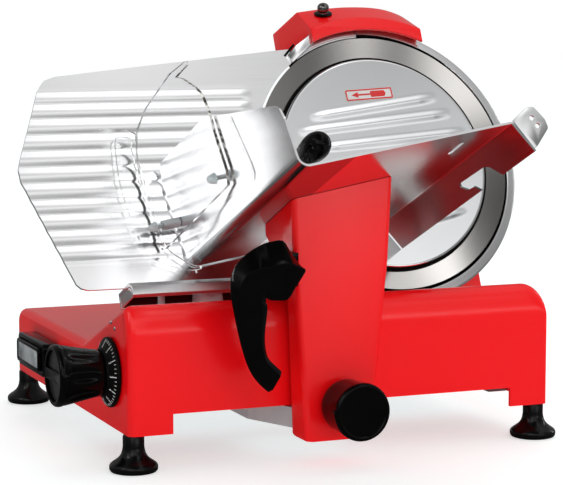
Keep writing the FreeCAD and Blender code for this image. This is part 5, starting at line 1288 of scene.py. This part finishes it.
plate("switch_window_wall", round_poly([(-109.7, 51.3), (-36.3, 51.3), (-36.3, 72.7), (-109.7, 72.7)], 4.2, 6), [round_poly([(-106.6, 54.2), (-39.4, 54.2), (-39.4, 69.8), (-106.6, 69.8)], 3.0, 6)], 208.3, 212.6, SF, M["black"], "frame",
      bevel=0.5, slot="black_gloss")


def rocker():
    """two-sided rocker, dished each side of its middle"""
    prof = [(-98.4, 200.1), (-99.4, 204.6), (-98.0, 205.3), (-90.0, 205.0), (-80.0, 204.6), (-73.0, 204.7), (-66.0, 205.3), (-56.0, 206.4), (-48.0, 207.6), (-46.7, 207.6), (-47.6, 200.1), (-73.0, 199.7)]
    bm = bmesh.new()
    rows = []
    for z in (54.2, 54.8, 58.0, 62.0, 66.0, 69.2, 69.8):
        ins = 0.5 if z in (54.2, 69.8) else 0.0
        rows.append([(x, z, y - (ins if y > 203 else 0)) for x, y in prof])
    vs = [[bm.verts.new(v3(*p)) for p in r] for r in rows]
    n = len(prof)
    for i in range(len(vs) - 1):
        for k in range(n):
            bm.faces.new((vs[i][k], vs[i][(k + 1) % n], vs[i + 1][(k + 1) % n], vs[i + 1][k]))
    bm.faces.new(vs[0])
    bm.faces.new(list(reversed(vs[-1])))
    return put("white_rocker", bm, SF, M["white"], "rocker", slot="white_plastic", replaces=["switch_rocker"], angle=30)


rocker()


# ------------------------------------------------------------------ sharpener cover
HOOD_TOP = catmull([(-54.0, 161.5), (-42.0, 163.2), (-30.0, 164.7), (-8.0, 166.6), (10.0, 166.9), (25.0, 166.2), (38.0, 164.2), (48.0, 161.0), (55.0, 157.8), (60.0, 154.5)], 4)


def sharpener():
    """hood over the top of the blade: an arc-shaped band in front, sloping up to a flat-topped box"""
    def row(h_, left, right, low, inset=0.0, arc=144.3):
        pts = []
        for k in range(25):
            u_ = lerp(left, right, k / 24)
            cx = 2.5 if low < 135.0 and low > 131.0 else 0.0
            pts.append((u_, math.sqrt(low ** 2 - (u_ - cx) ** 2), h_))
        t = max(0.0, min(1.0, (h_ + 21.6) / 26.6))
        for tu, tv in reversed(HOOD_TOP):
            u_ = lerp(left, right, (tu + 54.0) / 114.0)
            pts.append((u_, lerp(tv - inset, math.sqrt(arc ** 2 - (u_ - 2.5) ** 2), t), h_))
        return pts

    rows = [row(h_, lerp(-54.0, -59.0, max(0.0, min(1.0, (-21.6 - h_) / 53.4))), 60.0, 139.0) for h_ in (-75.0, -60.0, -45.0, -30.0, -21.6, -14.0, -6.0, 2.0)]
    rows += [row(2.0, -54.0, 60.0, 132.6), row(5.0, -54.0, 60.0, 132.6)]
    bm = loft_bm(rows)
    ob = put("sharpener_hood", bm, BP, M["red"], "sharpener", slot="red_enamel", replaces=["sharpener_cover"], angle=26, weld=True)
    inner = loft_bm([row(-71.6, -55.5, 56.6, 128.0, 3.6), row(-40.0, -52.6, 56.6, 128.0, 3.6), row(-22.6, -50.6, 56.6, 128.0, 3.6), row(1.98, -50.6, 56.6, 128.0, 3.6, 140.4)])
    difference(ob, inner, BP)
    b_ = ob.modifiers.new("edge", "BEVEL")
    b_.width = 0.9 * MM
    b_.segments = 3
    b_.limit_method = "ANGLE"
    b_.angle_limit = math.radians(30)
    applied(ob)
    # seat for the knob's stem
    difference(ob, lathe_bm([(0.0, -3.0), (5.6, -3.0), (5.6, 12.0), (0.0, 12.0)], 48), KNOB)
    finish_mesh(ob, 26)
    for k, (u0_, h0_) in enumerate(((-27.0, -48.0), (29.0, -44.0))):
        lathe("stone_pin_%d" % k, [(0, 139.3), (2.6, 139.3), (3.0, 139.8), (3.0, 162.0), (0, 162.0)], axis_frame(BP_pt(u0_, 0, h0_), E2), M["steel"], "sharpener", seg=24, slot="steel")
    lathe("post_socket", [(5.1, 141.0), (8.6, 141.0), (9.0, 141.5), (9.0, 164.0), (5.1, 164.0)], axis_frame(BP_pt(0, 0, -29.5), E2), M["red"], "sharpener", seg=48, slot="red_enamel")
    lathe("knob_socket", [(0.0, -11.4), (8.6, -11.4), (9.0, -11.0), (9.0, -3.4), (0.0, -3.4)], KNOB, M["red"], "sharpener", seg=48, slot="red_enamel")
    return ob


def BP_pt(u, v, h):
    return B0 + UX * u + E2 * v + NN * h


KNOB = axis_frame(BP_pt(-32.10, 154.15, -10.40), UX * -0.1179 + E2 * 0.7314 + NN * 0.6717)
sharpener()
BRK = round_poly([(-81.0, 107.6), (-71.6, 117.4), (-52.2, 130.6), (-50.4, 122.0), (-76.6, 100.6)], [1.0, 1.5, 0.6, 0.6, 1.0], 4)
prism("hood_bracket", BRK, -1.2, 1.6, BP, M["polished"], "sharpener", bevel=0.4, slot="aluminium")
# dark strip of painted shade beside the bracket's edge
prism("hood_bracket_edge_shade", [(-81.4, 108.2), (-71.8, 118.0), (-73.6, 119.4), (-83.2, 109.4)], -6.0, 1.8, BP, M["void"], "sharpener", bevel=0.2, slot="black_matte")
# crescent of near-black painted shadow in the gap at the ring's inner edge, right of the step
CRES = []
for k in range(21):
    a_ = math.radians(lerp(92.3, 50.0, k / 20))
    CRES.append(((129.6 - 1.9 * (k / 20) ** 0.7) * math.cos(a_), (129.6 - 1.9 * (k / 20) ** 0.7) * math.sin(a_)))
for k in range(20, -1, -1):
    a_ = math.radians(lerp(92.3, 50.0, k / 20))
    CRES.append((127.2 * math.cos(a_), 127.2 * math.sin(a_)))
prism("ring_step_shadow", CRES, -3.0, -0.88, BP, M["void"], "frame", bevel=0.0, slot="black_matte")
lathe("sharpener_knob_turned", [(0.0, -2.7), (5.0, -2.7), (5.1, 0.8), (5.1, 2.4), (4.9, 3.2), (5.1, 4.2), (5.5, 5.2), (5.65, 6.6), (5.5, 8.2), (4.9, 9.6), (3.8, 10.7), (2.2, 11.4), (0.0, 11.6)],
      KNOB, M["dark_chrome"], "sharpener_lock", seg=64, slot="steel", replaces=["sharpener_knob"], angle=40)
lathe("knob_washer", [(5.0, 0.55), (8.2, 0.55), (8.6, 0.8), (8.6, 1.5), (8.2, 1.8), (5.0, 2.1)], KNOB, M["black"], "sharpener_lock", seg=64, slot="black_gloss", angle=35)

# ------------------------------------------------------------------ finishes for the CAD nodes that stay
M["belly"] = plastic("primed_plate_m", (0.46, 0.47, 0.48), (0.56, 0.57, 0.58), (0.35, 0.5), 0.03)
CAD_MATS = {
    "bottom_plate": "belly", "bottom_screws": "steel", "foot_studs": "steel", "blade_screws": "steel", "blade_spindle": "steel", "spindle_bearings": "steel", "blade_support": "red", "slice_deflector": "polished",
    "cover_tie_rod": "steel", "cover_knob": "black", "belt_cover": "red", "driven_pulley": "alu", "drive_pulley": "alu", "drive_belt": "rubber", "motor_rotor": "steel", "motor_stator": "copper", "motor_fan": "black_matte", "motor_cover": "red",
    "gauge_slider": "alu", "gauge_guide_rod": "steel", "gauge_rod_brackets": "grey_plate", "index_spindle": "steel", "index_cam": "steel", "cord_gland": "black_matte", "capacitor": "white", "guide_rod": "steel", "rod_brackets": "grey_plate",
    "carriage_block": "belly", "carriage_bushes": "bronze", "guard_screws": "steel", "pusher_bracket": "alu", "pusher_rod": "steel", "pusher_plate": "polished", "sharpener_base": "alu", "grinding_stone": "stone", "deburring_stone": "stone2",
}
for node_name, key in CAD_MATS.items():
    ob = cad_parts[node_name]
    ob.data.materials.clear()
    ob.data.materials.append(M[key])
left_over = [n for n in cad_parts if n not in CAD_MATS]
for node_name in left_over:
    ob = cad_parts[node_name]
    ob.data.materials.clear()
    ob.data.materials.append(M["alu"])

# ------------------------------------------------------------------ floor, light and camera
bm = bmesh.new()
R = 9.0
fl = []
for j in range(64):
    a = 2 * math.pi * j / 64
    fl.append(bm.verts.new((R * math.cos(a), R * math.sin(a), 0.0)))
bm.faces.new(fl)
me = bpy.data.meshes.new("floor")
bm.to_mesh(me)
bm.free()
floor = bpy.data.objects.new("floor", me)
bpy.context.scene.collection.objects.link(floor)
mf, nt, b = new_mat("studio_floor_m", Metallic=0.0)
v_ = coords(nt)
nt.links.new(ramp(nt, noise_tex(nt, v_, 3.0, 3), [(0.3, (0.60, 0.67, 0.67)), (0.7, (0.62, 0.69, 0.69))]), b.inputs["Base Color"])
b.inputs["Roughness"].default_value = 0.6
b.inputs["Specular IOR Level"].default_value = 0.15
b.inputs["Emission Color"].default_value = (1.0, 1.0, 1.0, 1.0)
lp = nt.nodes.new("ShaderNodeLightPath")
fm = nt.nodes.new("ShaderNodeMapRange")
fm.inputs["To Min"].default_value = 0.56
fm.inputs["To Max"].default_value = 0.02
nt.links.new(lp.outputs["Is Glossy Ray"], fm.inputs["Value"])
nt.links.new(fm.outputs["Result"], b.inputs["Emission Strength"])
dim = nt.nodes.new("ShaderNodeBsdfDiffuse")
dim.inputs["Color"].default_value = (0.16, 0.16, 0.16, 1.0)
fx = nt.nodes.new("ShaderNodeMixShader")
nt.links.new(lp.outputs["Is Glossy Ray"], fx.inputs[0])
nt.links.new(b.outputs[0], fx.inputs[1])
nt.links.new(dim.outputs[0], fx.inputs[2])
for n_ in nt.nodes:
    if n_.type == "OUTPUT_MATERIAL":
        nt.links.new(fx.outputs[0], n_.inputs["Surface"])
floor.data.materials.append(mf)

world = bpy.data.worlds.new("studio")
bpy.context.scene.world = world
world.use_nodes = True
wt = world.node_tree
wt.nodes.clear()
w_out = wt.nodes.new("ShaderNodeOutputWorld")
w_lp = wt.nodes.new("ShaderNodeLightPath")
w_cam = wt.nodes.new("ShaderNodeBackground")
w_cam.inputs["Color"].default_value = (1, 1, 1, 1)
w_cam.inputs["Strength"].default_value = 1.0
w_dif = wt.nodes.new("ShaderNodeBackground")
w_dif.inputs["Color"].default_value = (1, 1, 1, 1)
w_dif.inputs["Strength"].default_value = 0.92
w_gl = wt.nodes.new("ShaderNodeBackground")
w_gl.inputs["Strength"].default_value = 1.0
w_tc = wt.nodes.new("ShaderNodeTexCoord")
w_sep = wt.nodes.new("ShaderNodeSeparateXYZ")
wt.links.new(w_tc.outputs["Generated"], w_sep.inputs[0])
# studio as bright metal and gloss see it: radiance by height (the direction's z), one column for each sideways x
GRID = [
    (-0.80, [(-1.0, 0.15), (0.0, 0.10), (0.30, 0.45), (0.60, 0.60), (1.0, 0.3)]),
    (-0.55, [(-1.0, 0.2), (0.0, 0.15), (0.10, 0.6), (0.20, 1.5), (0.45, 1.9), (0.62, 1.9), (0.76, 0.5), (1.0, 0.3)]),
    (-0.35, [(-1.0, 0.2), (0.0, 0.15), (0.10, 0.5), (0.20, 1.3), (0.45, 1.6), (0.60, 1.6), (0.70, 0.2), (1.0, 0.3)]),
    (-0.12, [(-1.0, 0.2), (0.0, 0.15), (0.10, 0.3), (0.20, 0.9), (0.50, 0.9), (0.58, 0.35), (0.66, 0.04), (1.0, 0.04)]),
    (0.14, [(-1.0, 0.2), (0.0, 0.15), (0.05, 0.4), (0.07, 1.5), (0.20, 1.2), (0.50, 1.4), (0.58, 0.6), (0.66, 0.05), (0.9, 0.04), (1.0, 0.1)]),
    (0.22, [(-1.0, 0.2), (0.0, 0.15), (0.045, 0.4), (0.065, 1.7), (0.13, 1.7), (0.20, 0.8), (0.36, 0.6), (0.50, 1.0), (0.60, 1.0), (0.68, 0.35), (0.72, 0.08), (0.88, 0.04), (1.0, 0.3)]),
    (0.28, [(-1.0, 0.2), (0.0, 0.15), (0.045, 0.4), (0.065, 1.9), (0.13, 1.9), (0.18, 0.3), (0.38, 0.10), (0.44, 0.22), (0.49, 0.50), (0.54, 0.95), (0.60, 1.10), (0.63, 1.02), (0.67, 0.88), (0.71, 1.2), (0.78, 2.1), (0.88, 2.1), (0.93, 0.9), (1.0, 0.3)]),
    (0.35, [(-1.0, 0.2), (0.0, 0.15), (0.045, 0.4), (0.065, 2.2), (0.13, 2.2), (0.18, 0.5), (0.37, 0.22), (0.47, 0.40), (0.53, 0.8), (0.60, 0.9), (0.64, 0.68), (0.67, 0.56), (0.71, 0.7), (0.76, 1.4), (0.86, 1.4), (0.91, 0.5), (1.0, 0.4)]),
    (0.42, [(-1.0, 0.2), (0.0, 0.15), (0.045, 0.4), (0.065, 2.4), (0.13, 2.4), (0.18, 0.9), (0.45, 0.85), (0.53, 1.0), (0.595, 1.05), (0.625, 0.55), (0.66, 0.36), (0.70, 0.42), (0.76, 0.7), (0.85, 0.85), (1.0, 0.8)]),
    (0.475, [(-1.0, 0.2), (0.0, 0.15), (0.045, 0.4), (0.065, 2.2), (0.13, 2.0), (0.18, 0.40), (0.45, 0.45), (0.57, 0.85), (0.61, 0.62), (0.66, 0.46), (0.70, 0.55), (0.80, 0.9), (1.0, 0.8)]),
    (0.56, [(-1.0, 0.2), (0.0, 0.15), (0.045, 0.4), (0.065, 1.8), (0.12, 1.4), (0.16, 0.05), (0.45, 0.05), (0.55, 0.20), (0.66, 0.50), (0.80, 0.6), (1.0, 0.6)]),
    (0.66, [(-1.0, 0.2), (0.0, 0.15), (0.05, 0.4), (0.08, 0.8), (0.15, 0.20), (0.45, 0.18), (0.55, 0.28), (0.70, 0.50), (1.0, 0.6)]),
    (0.85, [(-1.0, 0.2), (0.0, 0.15), (0.10, 0.30), (0.40, 0.34), (0.60, 0.45), (1.0, 0.5)]),
]
w_hz = wt.nodes.new("ShaderNodeMapRange")
w_hz.inputs["From Min"].default_value = -1.0
w_hz.inputs["From Max"].default_value = 1.0
wt.links.new(w_sep.outputs["Z"], w_hz.inputs["Value"])
grid_out = None
for gi, (gx, stops) in enumerate(GRID):
    w_r = wt.nodes.new("ShaderNodeValToRGB")
    er = w_r.color_ramp.elements
    er[0].position, er[0].color = 0.0, (stops[0][1] / 3,) * 3 + (1,)
    er[1].position, er[1].color = 1.0, (stops[-1][1] / 3,) * 3 + (1,)
    for z_, c_ in stops[1:-1]:
        e_ = er.new((z_ + 1) / 2)
        e_.color = (c_ / 3, c_ / 3, c_ / 3, 1)
    wt.links.new(w_hz.outputs["Result"], w_r.inputs["Fac"])
    if grid_out is None:
        grid_out = w_r.outputs["Color"]
        continue
    w_k = wt.nodes.new("ShaderNodeMapRange")
    w_k.inputs["From Min"].default_value = GRID[gi - 1][0]
    w_k.inputs["From Max"].default_value = gx
    wt.links.new(w_sep.outputs["X"], w_k.inputs["Value"])
    w_x = wt.nodes.new("ShaderNodeMix")
    w_x.data_type = "RGBA"
    wt.links.new(w_k.outputs["Result"], w_x.inputs[0])
    wt.links.new(grid_out, w_x.inputs[6])
    wt.links.new(w_r.outputs["Color"], w_x.inputs[7])
    grid_out = w_x.outputs[2]
# behind the machine the studio is plain white
w_bk = wt.nodes.new("ShaderNodeMapRange")
w_bk.inputs["From Min"].default_value = 0.15
w_bk.inputs["From Max"].default_value = 0.40
wt.links.new(w_sep.outputs["Y"], w_bk.inputs["Value"])
w_x = wt.nodes.new("ShaderNodeMix")
w_x.data_type = "RGBA"
w_x.inputs[7].default_value = (0.10, 0.10, 0.10, 1)
wt.links.new(w_bk.outputs["Result"], w_x.inputs[0])
wt.links.new(grid_out, w_x.inputs[6])
wt.links.new(w_x.outputs[2], w_gl.inputs["Color"])
w_gl.inputs["Strength"].default_value = 3.0
# the left side gets less light
w_dx = wt.nodes.new("ShaderNodeMapRange")
w_dx.inputs["From Min"].default_value = -1.0
w_dx.inputs["From Max"].default_value = 0.1
w_dx.inputs["To Min"].default_value = 0.24
w_dx.inputs["To Max"].default_value = 0.95
wt.links.new(w_sep.outputs["X"], w_dx.inputs["Value"])
wt.links.new(w_dx.outputs["Result"], w_dif.inputs["Strength"])
w_m1 = wt.nodes.new("ShaderNodeMixShader")
w_m2 = wt.nodes.new("ShaderNodeMixShader")
wt.links.new(w_lp.outputs["Is Glossy Ray"], w_m1.inputs[0])
wt.links.new(w_dif.outputs[0], w_m1.inputs[1])
wt.links.new(w_gl.outputs[0], w_m1.inputs[2])
wt.links.new(w_lp.outputs["Is Camera Ray"], w_m2.inputs[0])
wt.links.new(w_m1.outputs[0], w_m2.inputs[1])
wt.links.new(w_cam.outputs[0], w_m2.inputs[2])
wt.links.new(w_m2.outputs[0], w_out.inputs["Surface"])


def area(name, az_, el_, dist, sx, sy, radiance, target=(0.0, 0.0, 0.2), diffuse=True, glossy=True):
    """soft panel; az from the front towards +X, el above the floor, brightness as radiance"""
    a_, e_ = math.radians(az_), math.radians(el_)
    loc = Vector(target) + Vector((math.sin(a_) * math.cos(e_), -math.cos(a_) * math.cos(e_), math.sin(e_))) * dist
    li = bpy.data.lights.new(name, "AREA")
    li.shape = "RECTANGLE"
    li.size = sx
    li.size_y = sy
    li.energy = radiance * math.pi * sx * sy
    o = bpy.data.objects.new(name, li)
    bpy.context.scene.collection.objects.link(o)
    o.visible_diffuse = diffuse
    o.visible_glossy = glossy
    o.location = loc
    o.rotation_euler = (Vector(target) - loc).to_track_quat("-Z", "Y").to_euler()
    return o


area("softbox_front", -4.0, 30.0, 2.4, 1.1, 0.9, 1.55, glossy=False)
area("strip_left", -72.0, 30.0, 2.0, 0.05, 1.0, 22.0, diffuse=False)
area("strip_right", 97.0, 12.0, 2.2, 0.05, 1.2, 16.0, diffuse=False)
area("overhead", 160.0, 72.0, 2.2, 1.4, 1.0, 1.2, glossy=False)

cam = bpy.data.cameras.new("photo_camera")
cam.lens = 134.34
cam.sensor_width = 36.0
cam.clip_end = 50.0
cam.dof.use_dof = False
co = bpy.data.objects.new("photo_camera", cam)
bpy.context.scene.collection.objects.link(co)
co.location = (-0.7146, -1.7481, 0.3899)
az, el = math.radians(22.084), math.radians(6.67)
co.rotation_euler = Vector((math.sin(az) * math.cos(el), math.cos(az) * math.cos(el), -math.sin(el))).to_track_quat("-Z", "Y").to_euler()
bpy.context.scene.camera = co
bpy.context.scene.view_settings.view_transform = "Standard"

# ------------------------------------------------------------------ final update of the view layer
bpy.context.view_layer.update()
